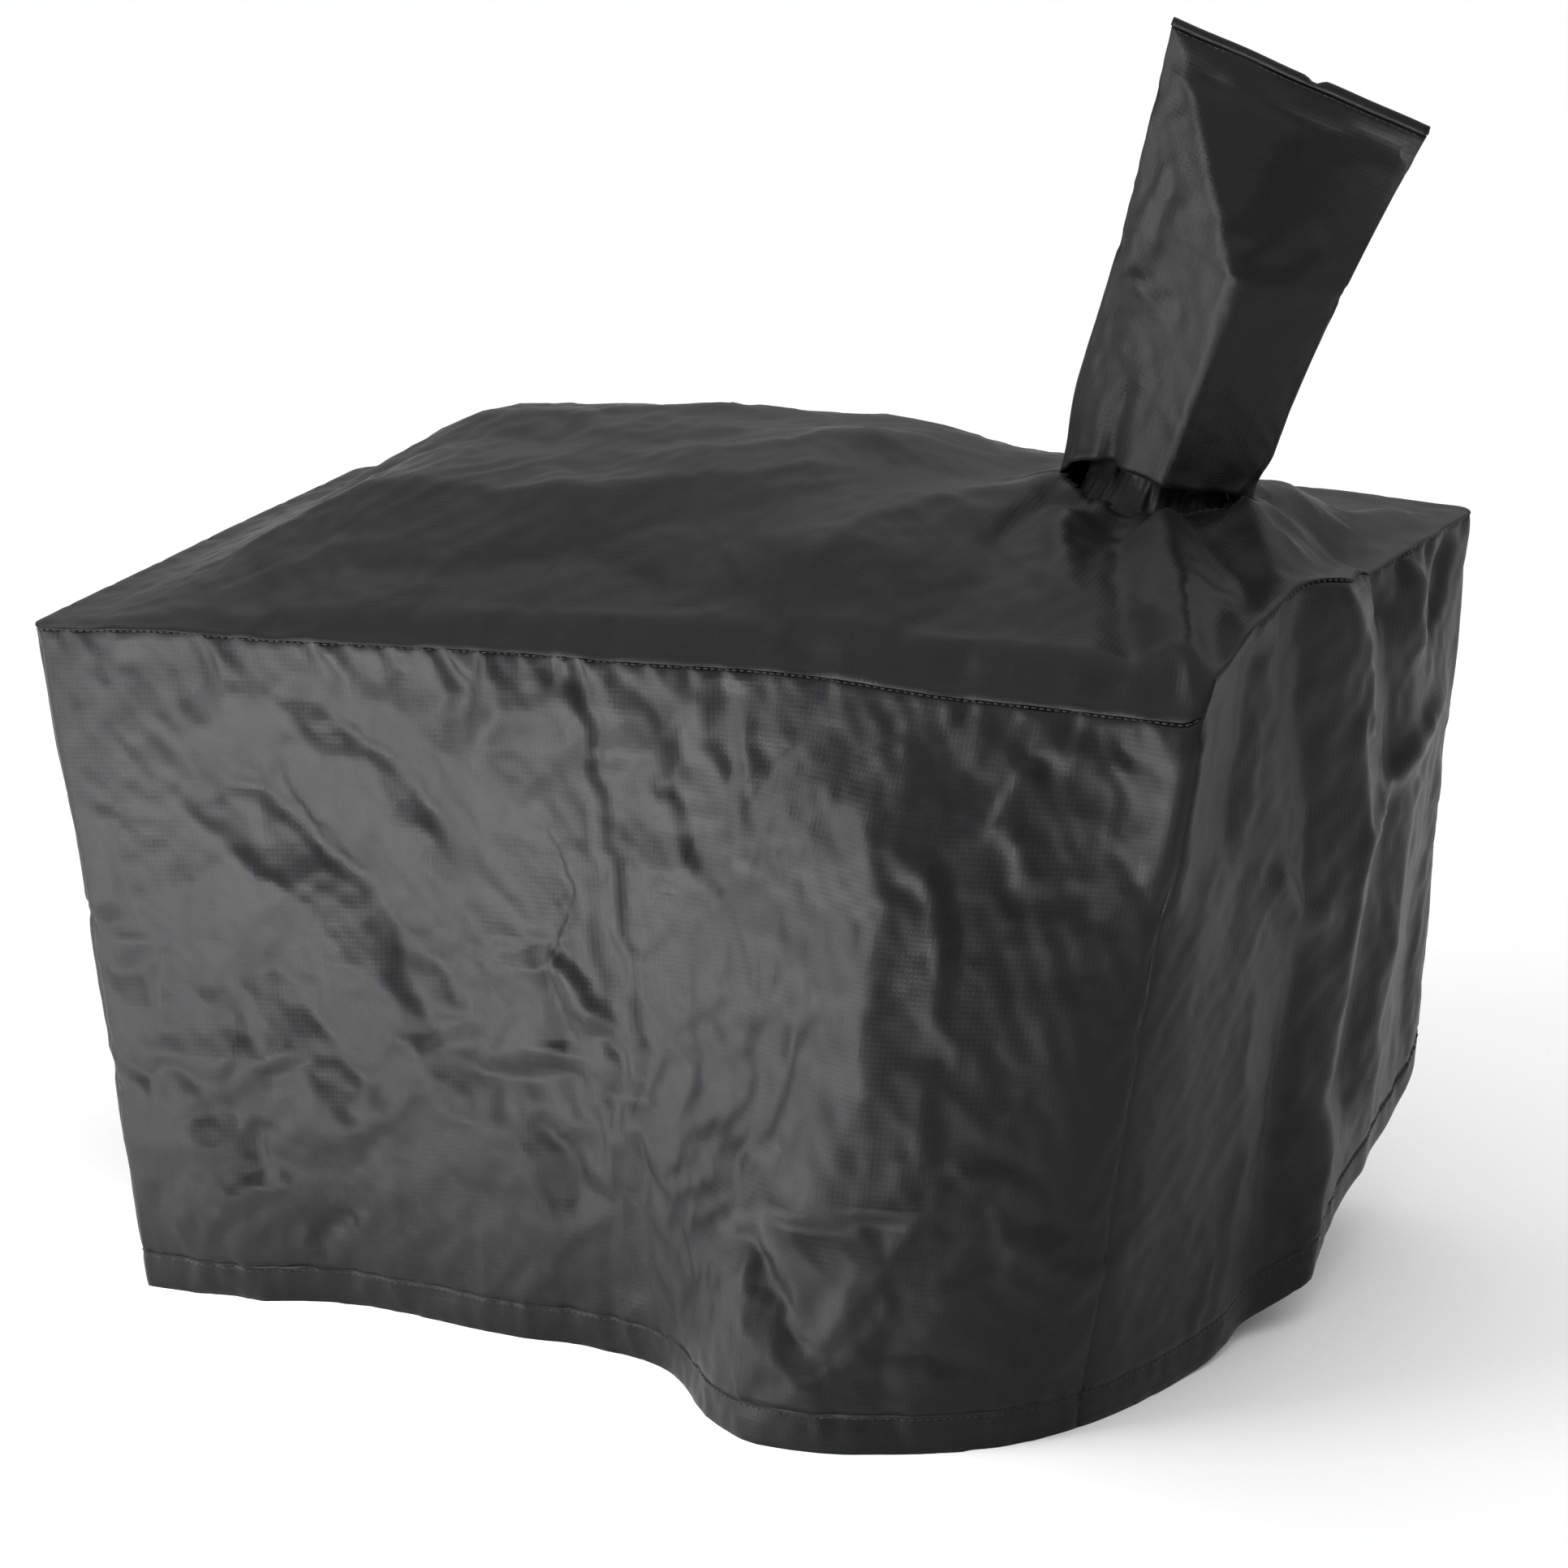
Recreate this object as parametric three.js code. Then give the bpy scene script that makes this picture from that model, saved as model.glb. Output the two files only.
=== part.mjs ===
// A sewn fabric cover for a table-top grill with a chimney, standing open on its own hem.
// Millimetres, +Z up, +X towards the chimney end, -Y towards the front.
// Every sewn piece is a closed solid of its own: panels, hem bands, seam bindings, threads and sleeve.

import * as THREE from 'three';

// ---------------------------------------------------------------- driving dimensions

const coverLength = 750; // top panel, left to right
const coverWidth = 395; // top panel, front to back
const cornerRadius = 14; // top panel's corners in plan
const clothThickness = 1.6; // a panel with its coating and the slack in it
const hemThickness = 3.2; // hem, folded twice
const hemHeight = 22;
const seamGap = 0.4; // clearance between two pieces that are sewn together
const faceGap = 1; // clearance between a panel's curved face and a tape or thread laid along it
const bindingThickness = 1; // tape inside a seam
const bindingWidth = 14;
const threadSize = 1; // width and thickness of a sewn thread row
const threadInset = 3; // thread row to the edge that it holds

const sleeveBase = new THREE.Vector3( 259, 0, 488.4 ); // centre of the sleeve's lower end
const sleeveBaseHalf = [ 57, 47 ]; // half widths there, along X and Y
const sleeveMouthHalf = [ 55, 45 ]; // hole in the top panel under the sleeve
const sleeveLength = 264; // along its leaning axis
const sleeveLean = THREE.MathUtils.degToRad( 23 ); // towards +X
const sleeveTipTilt = THREE.MathUtils.degToRad( 20 ); // slope of the closed end
const sleeveSetBack = 6.8; // how far the leaning axis steps back from the base's centre
const sleeveGirth = 322; // once round the sleeve
const sleeveShoulder = { share: 0.2, half: 62 }; // where it starts to widen: share of its length, half width
const sleeveWidening = 1.7; // higher keeps it narrow for longer
const sleeveTipHalf = 80; // half width of the closed, flat end
const sleeveTipDepth = 2.2; // half depth there
const collarDepth = 5; // gathered band round the sleeve's lower end, outwards
const collarReach = 0.075; // its height, as a share of the sleeve's length

// Heights of the seam round the top panel: share of the side's length, height.
const seamHeights = {
	front: [ [ 0, 410 ], [ 0.14, 416 ], [ 0.5, 424 ], [ 0.66, 427 ], [ 0.82, 422 ], [ 1, 420 ] ],
	right: [ [ 0, 420 ], [ 0.33, 458 ], [ 0.52, 449 ], [ 0.7, 439 ], [ 1, 437 ] ],
	back: [ [ 0, 437 ], [ 0.14, 441 ], [ 0.5, 433 ], [ 0.8, 424 ], [ 1, 405 ] ],
	left: [ [ 0, 405 ], [ 0.5, 408 ], [ 1, 410 ] ],
};

// The hem as it hangs, corner to corner. It stands on the floor all along the front, the left
// and most of the back, swings out at the front right, and lifts at the back right.
const hemOutline = {
	front: [
		[ - 338, - 186, 0 ], [ - 326, - 191, 0 ], [ - 250, - 180, 0 ], [ - 150, - 177, 0 ],
		[ - 70, - 186, 0 ], [ 0, - 190, 0 ], [ 44, - 211, 0 ], [ 92, - 250, 0 ], [ 147, - 269, 0 ],
		[ 205, - 266, 0 ], [ 255, - 242, 0 ],
	],
	right: [
		[ 285, - 203, 0 ], [ 301, - 157, 0 ], [ 313, - 99, 2 ], [ 320, - 35, 16 ], [ 323, 25, 42 ],
		[ 327, 85, 60 ], [ 332, 140, 72 ], [ 338, 178, 92 ],
	],
	back: [
		[ 333, 191, 104 ], [ 292, 195, 92 ], [ 225, 190, 45 ], [ 160, 186, 8 ], [ 100, 188, 0 ],
		[ 0, 184, 0 ], [ - 120, 190, 0 ], [ - 230, 184, 0 ], [ - 325, 188, 0 ],
	],
	left: [
		[ - 338, 182, 0 ], [ - 344, 140, 0 ], [ - 336, 60, 0 ], [ - 342, - 40, 0 ], [ - 337, - 130, 0 ],
		[ - 343, - 172, 0 ],
	],
};

// Where the skirt swells between seam and hem: place round the skirt (side number and share),
// spread along it, share of the way down, spread down it, push outwards.
const skirtSwells = [
	{ at: 0.75, spread: 0.14, down: 0.45, depth: 0.35, push: 14 },
	{ at: 0.28, spread: 0.12, down: 0.3, depth: 0.3, push: - 7 },
	{ at: 1.55, spread: 0.3, down: 0.35, depth: 0.35, push: 10 },
	{ at: 2.2, spread: 0.3, down: 0.45, depth: 0.3, push: 10 },
	{ at: 3.5, spread: 0.3, down: 0.4, depth: 0.3, push: 5 },
];

// The grill's hood under the top panel, and the chimney that tents the cloth round it.
const hood = { xFrom: - 165, xTo: 45, yCrest: 62, rise: 66, endFade: 0.16 };
const tent = { top: 488, spread: 52, reach: 170, edgeFade: 50, frontFrom: - 10, frontTo: 60 };

// How finely each side is cut into facets: columns along it, rows down it.
const sides = [
	{ name: 'front', columns: 18, rows: 6 },
	{ name: 'right', columns: 12, rows: 6 },
	{ name: 'back', columns: 12, rows: 5 },
	{ name: 'left', columns: 7, rows: 5 },
];

const colours = {
	cloth: 0x3a3a3c,
	hem: 0x333335,
	binding: 0x262628,
	thread: 0x1c1c1e,
};

const clothRoughness = 0.55;
const tapeRoughness = 0.8;
const threadRoughness = 0.7;

const cover = new THREE.Group();

// ---------------------------------------------------------------- small helpers

function addPiece( name, geometry, colour, roughness = clothRoughness ) {

	const material = new THREE.MeshStandardMaterial( { color: colour, roughness, metalness: 0 } );
	const mesh = new THREE.Mesh( geometry, material );
	mesh.name = name;
	cover.add( mesh );
	return mesh;

}

// Cosine steps through [ place, value ] pairs.
function follow( pairs, place ) {

	const last = pairs.length - 1;
	let i = 0;
	while ( i < last - 1 && place > pairs[ i + 1 ][ 0 ] ) i ++;
	const [ [ a, low ], [ b, high ] ] = [ pairs[ i ], pairs[ i + 1 ] ];
	const share = THREE.MathUtils.clamp( ( place - a ) / ( b - a ), 0, 1 );
	return low + ( high - low ) * ( 1 - Math.cos( Math.PI * share ) ) / 2;

}

function range( count, from = 0, to = 1 ) {

	return Array.from( { length: count + 1 }, ( _, i ) => from + ( to - from ) * i / count );

}

// A closed solid between two grids of points, row by row. Rows run down and columns run
// anticlockwise seen from above, so that the outer grid faces out. A ring closes on itself.
function slab( outer, inner, ring = false ) {

	const rows = outer.length;
	const columns = outer[ 0 ].length;
	const positions = [];
	for ( const point of [ ...outer.flat(), ...inner.flat() ] ) positions.push( ...point );

	const half = rows * columns;
	const at = ( row, column ) => row * columns + column % columns;
	const faces = [];
	const quad = ( a, b, c, d ) => faces.push( a, b, c, a, c, d );
	const wall = ( p, q ) => quad( q, p, p + half, q + half );
	const steps = ring ? columns : columns - 1;

	for ( let row = 0; row < rows - 1; row ++ ) {

		for ( let i = 0; i < steps; i ++ ) {

			const corners = [ at( row, i ), at( row + 1, i ), at( row + 1, i + 1 ), at( row, i + 1 ) ];
			quad( ...corners );
			quad( ...corners.reverse().map( ( index ) => index + half ) );

		}

		if ( ring ) continue;
		wall( at( row, 0 ), at( row + 1, 0 ) );
		wall( at( row + 1, columns - 1 ), at( row, columns - 1 ) );

	}

	for ( let i = 0; i < steps; i ++ ) {

		wall( at( 0, i + 1 ), at( 0, i ) );
		wall( at( rows - 1, i ), at( rows - 1, i + 1 ) );

	}

	const geometry = new THREE.BufferGeometry();
	geometry.setAttribute( 'position', new THREE.Float32BufferAttribute( positions, 3 ) );
	geometry.setIndex( faces );
	geometry.computeVertexNormals();
	return geometry;

}

// ---------------------------------------------------------------- the top panel's surface

// The seam's height carried across the panel from its four edges.
function edgeHeight( across, deep ) {

	const front = follow( seamHeights.front, across );
	const back = follow( seamHeights.back, 1 - across );
	const left = follow( seamHeights.left, 1 - deep );
	const right = follow( seamHeights.right, deep );
	const [ frontLeft, frontRight ] = [ seamHeights.front[ 0 ][ 1 ], seamHeights.right[ 0 ][ 1 ] ];
	const [ backRight, backLeft ] = [ seamHeights.back[ 0 ][ 1 ], seamHeights.left[ 0 ][ 1 ] ];
	const corners = ( 1 - deep ) * THREE.MathUtils.lerp( frontLeft, frontRight, across )
		+ deep * THREE.MathUtils.lerp( backLeft, backRight, across );
	return ( 1 - deep ) * front + deep * back + ( 1 - across ) * left + across * right - corners;

}

const smooth = THREE.MathUtils.smoothstep;

function topHeight( x, y ) {

	const across = THREE.MathUtils.clamp( x / coverLength + 0.5, 0, 1 );
	const deep = THREE.MathUtils.clamp( y / coverWidth + 0.5, 0, 1 );
	const pastCrest = 1 - ( 1 - hood.endFade ) * smooth( x, hood.xTo, sleeveBase.x );
	const hoodAcross = smooth( x, - coverLength / 2, hood.xFrom ) * pastCrest
		* ( 1 - smooth( x, sleeveBase.x, coverLength / 2 ) );
	const risen = THREE.MathUtils.clamp( ( y + coverWidth / 2 ) / ( hood.yCrest + coverWidth / 2 ), 0, 1 );
	const hoodDeep = y < hood.yCrest
		? Math.sin( Math.PI / 2 * risen )
		: 1 - smooth( y, hood.yCrest, coverWidth / 2 );
	const lifted = edgeHeight( across, deep ) + hood.rise * hoodAcross * hoodDeep;

	// Behind the sleeve the cloth falls away in a curve; in front of it, it is pulled taut to the seam.
	const dx = ( x - sleeveBase.x ) / sleeveBaseHalf[ 0 ];
	const dy = ( y - sleeveBase.y ) / sleeveBaseHalf[ 1 ];
	const away = Math.max( Math.hypot( dx, dy ) - 1, 0 ) * sleeveBaseHalf[ 1 ];
	const edge = Math.min( coverLength / 2 - Math.abs( x ), coverWidth / 2 - Math.abs( y ) );
	const curved = Math.exp( - ( ( away / tent.spread ) ** 2 ) ) * smooth( edge, 0, tent.edgeFade );
	const taut = away ? Math.max( 1 - away / Math.min( edge + away, tent.reach ), 0 ) : 1;
	const facing = smooth( - y, tent.frontFrom, tent.frontTo );
	const pull = curved + ( Math.max( curved, taut ) - curved ) * facing;
	return lifted + ( tent.top - lifted ) * pull;

}

// ---------------------------------------------------------------- the skirt's surface

const sideLengths = [ coverLength, coverWidth, coverLength, coverWidth ];
const sideStarts = [
	{ corner: [ - 1, - 1 ], along: [ 1, 0 ], out: [ 0, - 1 ] },
	{ corner: [ 1, - 1 ], along: [ 0, 1 ], out: [ 1, 0 ] },
	{ corner: [ 1, 1 ], along: [ - 1, 0 ], out: [ 0, 1 ] },
	{ corner: [ - 1, 1 ], along: [ 0, - 1 ], out: [ - 1, 0 ] },
];
const halfArc = cornerRadius * Math.PI / 4;
const seamLength = ( side ) => sideLengths[ side ] - 2 * cornerRadius + 2 * halfArc;

// The top panel's edge. The place is the side's number plus the share of its length.
function seamPoint( place ) {

	const side = Math.floor( place ) % 4;
	const share = place - Math.floor( place );
	const distance = share * seamLength( side );
	const straight = sideLengths[ side ] - 2 * cornerRadius;
	let along = cornerRadius + distance - halfArc;
	let out = 0;
	const turned = Math.min( distance - halfArc, 0 ) || Math.max( distance - halfArc - straight, 0 );
	if ( turned ) {

		const centre = turned < 0 ? cornerRadius : cornerRadius + straight;
		along = centre + cornerRadius * Math.sin( turned / cornerRadius );
		out = cornerRadius * ( Math.cos( turned / cornerRadius ) - 1 );

	}

	const start = sideStarts[ side ];
	const x = start.corner[ 0 ] * coverLength / 2 + start.along[ 0 ] * along + start.out[ 0 ] * out;
	const y = start.corner[ 1 ] * coverWidth / 2 + start.along[ 1 ] * along + start.out[ 1 ] * out;
	return [ x, y, topHeight( x, y ) ];

}

const hemPoints = sides.flatMap( ( side ) => hemOutline[ side.name ] );
const hemVectors = hemPoints.map( ( point ) => new THREE.Vector3( ...point ) );
const hemCurve = new THREE.CatmullRomCurve3( hemVectors, true, 'centripetal' );
hemCurve.arcLengthDivisions = 2000;
const hemLengths = hemCurve.getLengths();
const hemTotal = hemLengths[ hemLengths.length - 1 ];
const hemCorners = [ 0 ]; // share of the hem's length at each corner
for ( const side of sides ) {

	const before = sides.slice( 0, sides.indexOf( side ) + 1 );
	const passed = before.reduce( ( sum, each ) => sum + hemOutline[ each.name ].length, 0 );
	const division = Math.round( passed / hemPoints.length * hemCurve.arcLengthDivisions );
	hemCorners.push( hemLengths[ division ] / hemTotal );

}

function hemPoint( place ) {

	const side = Math.floor( place ) % 4;
	const share = place - Math.floor( place );
	const from = hemCorners[ side ];
	const point = hemCurve.getPointAt( from + ( hemCorners[ side + 1 ] - from ) * share );
	return [ point.x, point.y, Math.max( point.z, 0 ) ];

}

function swell( place, down ) {

	let push = 0;
	for ( const each of skirtSwells ) {

		const away = ( place - each.at ) / each.spread;
		const below = ( down - each.down ) / each.depth;
		push += each.push * Math.exp( - away * away - below * below );

	}

	return push * Math.sin( Math.PI * THREE.MathUtils.clamp( down, 0, 1 ) );

}

// A point of the skirt's outer face, at the share of the way down from seam to hem.
function skirtPoint( place, down ) {

	const [ top, hem ] = [ seamPoint( place ), hemPoint( place ) ];
	return top.map( ( value, i ) => value + ( hem[ i ] - value ) * down );

}

// The horizontal direction out of the skirt at a place.
function outward( place, down ) {

	const step = 0.004; // of a side's length
	const before = skirtPoint( place - step + sides.length, down );
	const after = skirtPoint( place + step + sides.length, down );
	const [ dx, dy ] = [ after[ 0 ] - before[ 0 ], after[ 1 ] - before[ 1 ] ];
	const length = Math.hypot( dx, dy );
	return [ dy / length, - dx / length ];

}

// The skirt at a place and a height, moved in from its outer face by a depth.
function skirtAt( place, height, depth ) {

	const [ top, hem ] = [ seamPoint( place )[ 2 ], hemPoint( place )[ 2 ] ];
	const down = ( top - height ) / ( top - hem );
	const [ x, y ] = skirtPoint( place, down );
	const [ outX, outY ] = outward( place, down );
	const push = swell( place, down ) - depth;
	return [ x + outX * push, y + outY * push, height ];

}

const belowSeam = ( drop ) => ( place ) => seamPoint( place )[ 2 ] - drop;
const aboveHem = ( rise ) => ( place ) => hemPoint( place )[ 2 ] + rise;

// A piece of the skirt: columns at the places, rows from one height to another, between two depths.
function skirtPiece( places, fromHeight, toHeight, rows, outerDepth, innerDepth ) {

	const layer = ( depth ) => range( rows ).map( ( share ) => places.map( ( place ) => {

		const [ from, to ] = [ fromHeight( place ), toHeight( place ) ];
		return skirtAt( place, from + ( to - from ) * share, depth );

	} ) );
	return slab( layer( outerDepth ), layer( innerDepth ) );

}

// Columns along one side: close together round its corners, then even.
function sidePlaces( side ) {

	const length = seamLength( side );
	const middle = range( sides[ side ].columns, halfArc, length - halfArc );
	const distances = [ seamGap / 2, halfArc / 2, ...middle, length - halfArc / 2, length - seamGap / 2 ];
	return distances.map( ( distance ) => side + distance / length );

}

// ---------------------------------------------------------------- skirt, hem, bindings and threads

const panelTop = belowSeam( clothThickness + faceGap );
const panelBottom = aboveHem( hemHeight + seamGap );
const bindingDepth = clothThickness + faceGap;

sides.forEach( ( side, index ) => {

	const places = sidePlaces( index );
	const piece = ( from, to, rows, outerDepth, innerDepth ) =>
		skirtPiece( places, from, to, rows, outerDepth, innerDepth );
	const thread = ( from, to ) => piece( from, to, 1, - faceGap - threadSize, - faceGap );

	const panel = piece( panelTop, panelBottom, side.rows, 0, clothThickness );
	addPiece( `${ side.name }_panel`, panel, colours.cloth );
	const band = piece( aboveHem( hemHeight ), aboveHem( 0 ), 1, 0, hemThickness );
	addPiece( `${ side.name }_hem_band`, band, colours.hem );

	const bindingTop = belowSeam( clothThickness + 2 * faceGap );
	const bindingBottom = belowSeam( clothThickness + bindingWidth );
	const binding = piece( bindingTop, bindingBottom, 1, bindingDepth, bindingDepth + bindingThickness );
	addPiece( `${ side.name }_top_binding`, binding, colours.binding, tapeRoughness );

	const seamThread = thread( belowSeam( 2 * threadInset ), belowSeam( 2 * threadInset + threadSize ) );
	addPiece( `${ side.name }_seam_thread`, seamThread, colours.thread, threadRoughness );
	const hemRow = hemHeight - threadInset;
	const hemThread = thread( aboveHem( hemRow ), aboveHem( hemRow - threadSize ) );
	addPiece( `${ side.name }_hem_thread`, hemThread, colours.thread, threadRoughness );

} );

// Tape inside each upright corner seam, between the top binding and the hem.
sides.forEach( ( side, index ) => {

	const before = ( index + 3 ) % 4;
	const lengthBefore = seamLength( before );
	const ahead = seamLength( index );
	const places = [
		...[ halfArc, halfArc / 2, seamGap / 2 ].map( ( back ) => before + 1 - back / lengthBefore ),
		...[ seamGap / 2, halfArc / 2, halfArc ].map( ( on ) => ( index || 4 ) + on / ahead ),
	];
	const from = belowSeam( clothThickness + bindingWidth + seamGap );
	const to = aboveHem( hemHeight + 2 * seamGap );
	const geometry = skirtPiece( places, from, to, side.rows, bindingDepth, bindingDepth + bindingThickness );
	const name = `${ sides[ before ].name }_${ side.name }_corner_binding`;
	addPiece( name, geometry, colours.binding, tapeRoughness );

} );

// ---------------------------------------------------------------- top panel

const rimPlaces = sides.flatMap( ( side, index ) => [ index, ...sidePlaces( index ).slice( 1, - 1 ) ] );
const ringShares = [ 0, 0.12, 0.26, 0.42, 0.58, 0.72, 0.84, 0.93, 1 ];
const topLayer = ( drop ) => ringShares.map( ( share ) => rimPlaces.map( ( place ) => {

	const [ rimX, rimY ] = seamPoint( place );
	const angle = Math.atan2( rimY - sleeveBase.y, rimX - sleeveBase.x );
	const holeX = sleeveBase.x + sleeveMouthHalf[ 0 ] * Math.cos( angle );
	const holeY = sleeveBase.y + sleeveMouthHalf[ 1 ] * Math.sin( angle );
	const x = rimX + ( holeX - rimX ) * share;
	const y = rimY + ( holeY - rimY ) * share;
	return [ x, y, topHeight( x, y ) - drop ];

} ) );
addPiece( 'top_panel', slab( topLayer( clothThickness ), topLayer( 0 ), true ), colours.cloth );

// ---------------------------------------------------------------- chimney sleeve

// The half depth of an ellipse with the sleeve's girth and a given half width.
function halfDepth( halfWidth ) {

	const sum = sleeveGirth / Math.PI; // of the two half widths, by the simplest ellipse rule
	return Math.max( sum - halfWidth, sleeveTipDepth );

}

// The sleeve's half width at a share of its length.
function sleeveHalfWidth( share ) {

	const { share: shoulder, half } = sleeveShoulder;
	if ( share < shoulder ) {

		return THREE.MathUtils.lerp( sleeveBaseHalf[ 0 ], half, smooth( share, 0, shoulder ) );

	}

	return half + ( sleeveTipHalf - half ) * ( ( share - shoulder ) / ( 1 - shoulder ) ) ** sleeveWidening;

}

// Shares of the sleeve's length over which one shape goes over into the next.
const leanFrom = - 0.05; // upright below this, leaning above leanTo
const leanTo = 0.3;
const settleRate = 6; // how quickly the axis steps back
const ovalTo = 0.25; // base oval below this, the girth's own ellipse above
const flattenFrom = 0.5; // flattens from here to the closed end

// The sleeve's outer face at a share of its length and an angle round it, moved out by grow.
function sleevePoint( share, angle, grow ) {

	const travel = sleeveLength * share;
	const setBack = sleeveSetBack * ( 1 - Math.exp( - share * settleRate ) );
	const centreX = sleeveBase.x + travel * Math.sin( sleeveLean ) - setBack;
	const centreZ = sleeveBase.z + travel * Math.cos( sleeveLean );
	const fullTilt = THREE.MathUtils.lerp( sleeveLean, sleeveTipTilt, share );
	const tilt = share <= 0 ? 0 : fullTilt * smooth( share, leanFrom, leanTo );
	const halfWidth = sleeveHalfWidth( share );
	const oval = halfDepth( halfWidth );
	const nearBase = THREE.MathUtils.lerp( sleeveBaseHalf[ 1 ], oval, smooth( share, 0, ovalTo ) );
	const depth = THREE.MathUtils.lerp( nearBase, sleeveTipDepth, smooth( share, flattenFrom, 1 ) );
	const across = ( halfWidth + grow ) * Math.cos( angle );
	return [
		centreX + across * Math.cos( tilt ),
		sleeveBase.y + ( depth + grow ) * Math.sin( angle ),
		centreZ - across * Math.sin( tilt ),
	];

}

const sleeveShares = [ 1, 0.88, 0.74, 0.58, 0.42, 0.28, 0.16, 0.07, 0 ];
const sleeveColumns = 10;
const sleeveMostCut = 0.64; // sine of the widest angle given up at a side seam

// Half round the sleeve, from one side seam to the other, with a gap at both.
function sleeveHalf( turn, shares, outerGrow, innerGrow ) {

	const layer = ( grow ) => shares.map( ( share ) => {

		const deep = Math.abs( sleevePoint( share, Math.PI / 2, innerGrow )[ 1 ] - sleeveBase.y );
		const cut = Math.asin( Math.min( seamGap / 2 / deep, sleeveMostCut ) );
		return range( sleeveColumns, turn + cut, turn + Math.PI - cut )
			.map( ( angle ) => sleevePoint( share, angle, grow ) );

	} );
	return slab( layer( outerGrow ), layer( innerGrow ) );

}

addPiece( 'sleeve_front_panel', sleeveHalf( Math.PI, sleeveShares, 0, - clothThickness ), colours.cloth );
addPiece( 'sleeve_back_panel', sleeveHalf( 0, sleeveShares, 0, - clothThickness ), colours.cloth );

// Tape inside the two side seams, up to where the sleeve goes flat.
const tapeShares = [ 0.6, 0.42, 0.3, 0.2, 0.1 ];
const tapeAngle = 0.22; // half the tape's width, as an angle
const tapeGrow = - clothThickness - 1.5 * faceGap;
for ( const [ name, middle ] of [ [ 'right', 0 ], [ 'left', Math.PI ] ] ) {

	const layer = ( grow ) => tapeShares.map( ( share ) =>
		[ - tapeAngle, 0, tapeAngle ].map( ( away ) => sleevePoint( share, middle + away, grow ) ) );
	addPiece( `sleeve_${ name }_seam_binding`,
		slab( layer( tapeGrow ), layer( tapeGrow - bindingThickness ) ), colours.binding, tapeRoughness );

}

// The gathered band where the sleeve meets the top panel.
const collarColumns = 20;
const collarRows = [ 1, 0.55, 0.12 ]; // shares of its height
const collarAngles = range( collarColumns - 1, 0, 2 * Math.PI * ( 1 - 1 / collarColumns ) );
const collarLayer = ( grow ) => collarRows.map( ( share ) =>
	collarAngles.map( ( angle ) => sleevePoint( share * collarReach, angle, grow ) ) );
addPiece( 'sleeve_collar', slab( collarLayer( collarDepth ), collarLayer( seamGap ), true ), colours.hem );

// The closed end: the seam allowance standing on the flat end of the two sleeve panels.
const endSeam = { height: 7, thickness: 4.4 };
const tipCentre = new THREE.Vector3( ...sleevePoint( 1, Math.PI / 2, 0 ) ).setY( sleeveBase.y );
const tipUp = new THREE.Vector3( Math.sin( sleeveTipTilt ), 0, Math.cos( sleeveTipTilt ) );
const endGeometry = new THREE.BoxGeometry( 2 * sleeveTipHalf, endSeam.thickness, endSeam.height );
const endMesh = addPiece( 'sleeve_end_seam', endGeometry, colours.hem );
endMesh.rotation.y = sleeveTipTilt;
endMesh.position.copy( tipCentre ).addScaledVector( tipUp, endSeam.height / 2 + seamGap );

const endThread = new THREE.BoxGeometry( 2 * ( sleeveTipHalf - threadInset ), threadSize, threadSize );
const endThreadMesh = addPiece( 'sleeve_end_thread', endThread, colours.thread, threadRoughness );
endThreadMesh.rotation.y = sleeveTipTilt;
endThreadMesh.position.copy( endMesh.position ).setY( - ( endSeam.thickness + threadSize ) / 2 - seamGap );

// ---------------------------------------------------------------- put the origin under the middle

cover.updateMatrixWorld( true );
const outerBox = new THREE.Box3().setFromObject( cover, true );
const middle = outerBox.getCenter( new THREE.Vector3() );
cover.position.set( - middle.x, - middle.y, - outerBox.min.z );

export default cover;
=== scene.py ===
import math

import bpy
import numpy as np
from mathutils import Matrix, Vector


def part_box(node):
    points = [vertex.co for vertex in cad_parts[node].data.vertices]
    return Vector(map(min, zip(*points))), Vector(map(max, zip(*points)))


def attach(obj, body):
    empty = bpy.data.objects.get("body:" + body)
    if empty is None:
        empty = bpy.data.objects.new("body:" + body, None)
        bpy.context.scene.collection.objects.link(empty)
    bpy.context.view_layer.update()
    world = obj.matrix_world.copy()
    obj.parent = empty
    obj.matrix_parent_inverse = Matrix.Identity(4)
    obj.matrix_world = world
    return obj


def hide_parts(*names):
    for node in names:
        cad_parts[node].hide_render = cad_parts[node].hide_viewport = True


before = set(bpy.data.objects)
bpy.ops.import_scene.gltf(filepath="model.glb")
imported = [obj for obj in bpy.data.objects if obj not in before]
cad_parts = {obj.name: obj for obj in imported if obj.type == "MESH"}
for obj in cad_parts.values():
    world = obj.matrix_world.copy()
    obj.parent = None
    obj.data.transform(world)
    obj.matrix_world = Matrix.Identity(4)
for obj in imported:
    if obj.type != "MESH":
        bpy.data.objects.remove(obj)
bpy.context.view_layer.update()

scene = bpy.context.scene
print("frame loaded")

# Shapes are drawn in millimetres round the middle of the top panel; shiftMm carries them into the frame.
topLow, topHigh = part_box("top_panel")
cover = {
    "length": (topHigh[0] - topLow[0]) * 1000,
    "width": (topHigh[1] - topLow[1]) * 1000,
    "cornerRadius": 14,
    "cell": 7.0,  # cloth cell in the simulation
    "rows": 58,  # cells down the skirt
    "hemHeight": 21,
    "cloth": 0.55,  # thickness that shows at an edge
    "hem": 1.7,
}
shiftMm = np.array([(topHigh[0] + topLow[0]) * 500, (topHigh[1] + topLow[1]) * 500, 0.0])


# Small number helpers

def smooth(x, low, high):
    t = np.clip((np.asarray(x, float) - low) / (high - low), 0, 1)
    return t * t * (3 - 2 * t)


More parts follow.
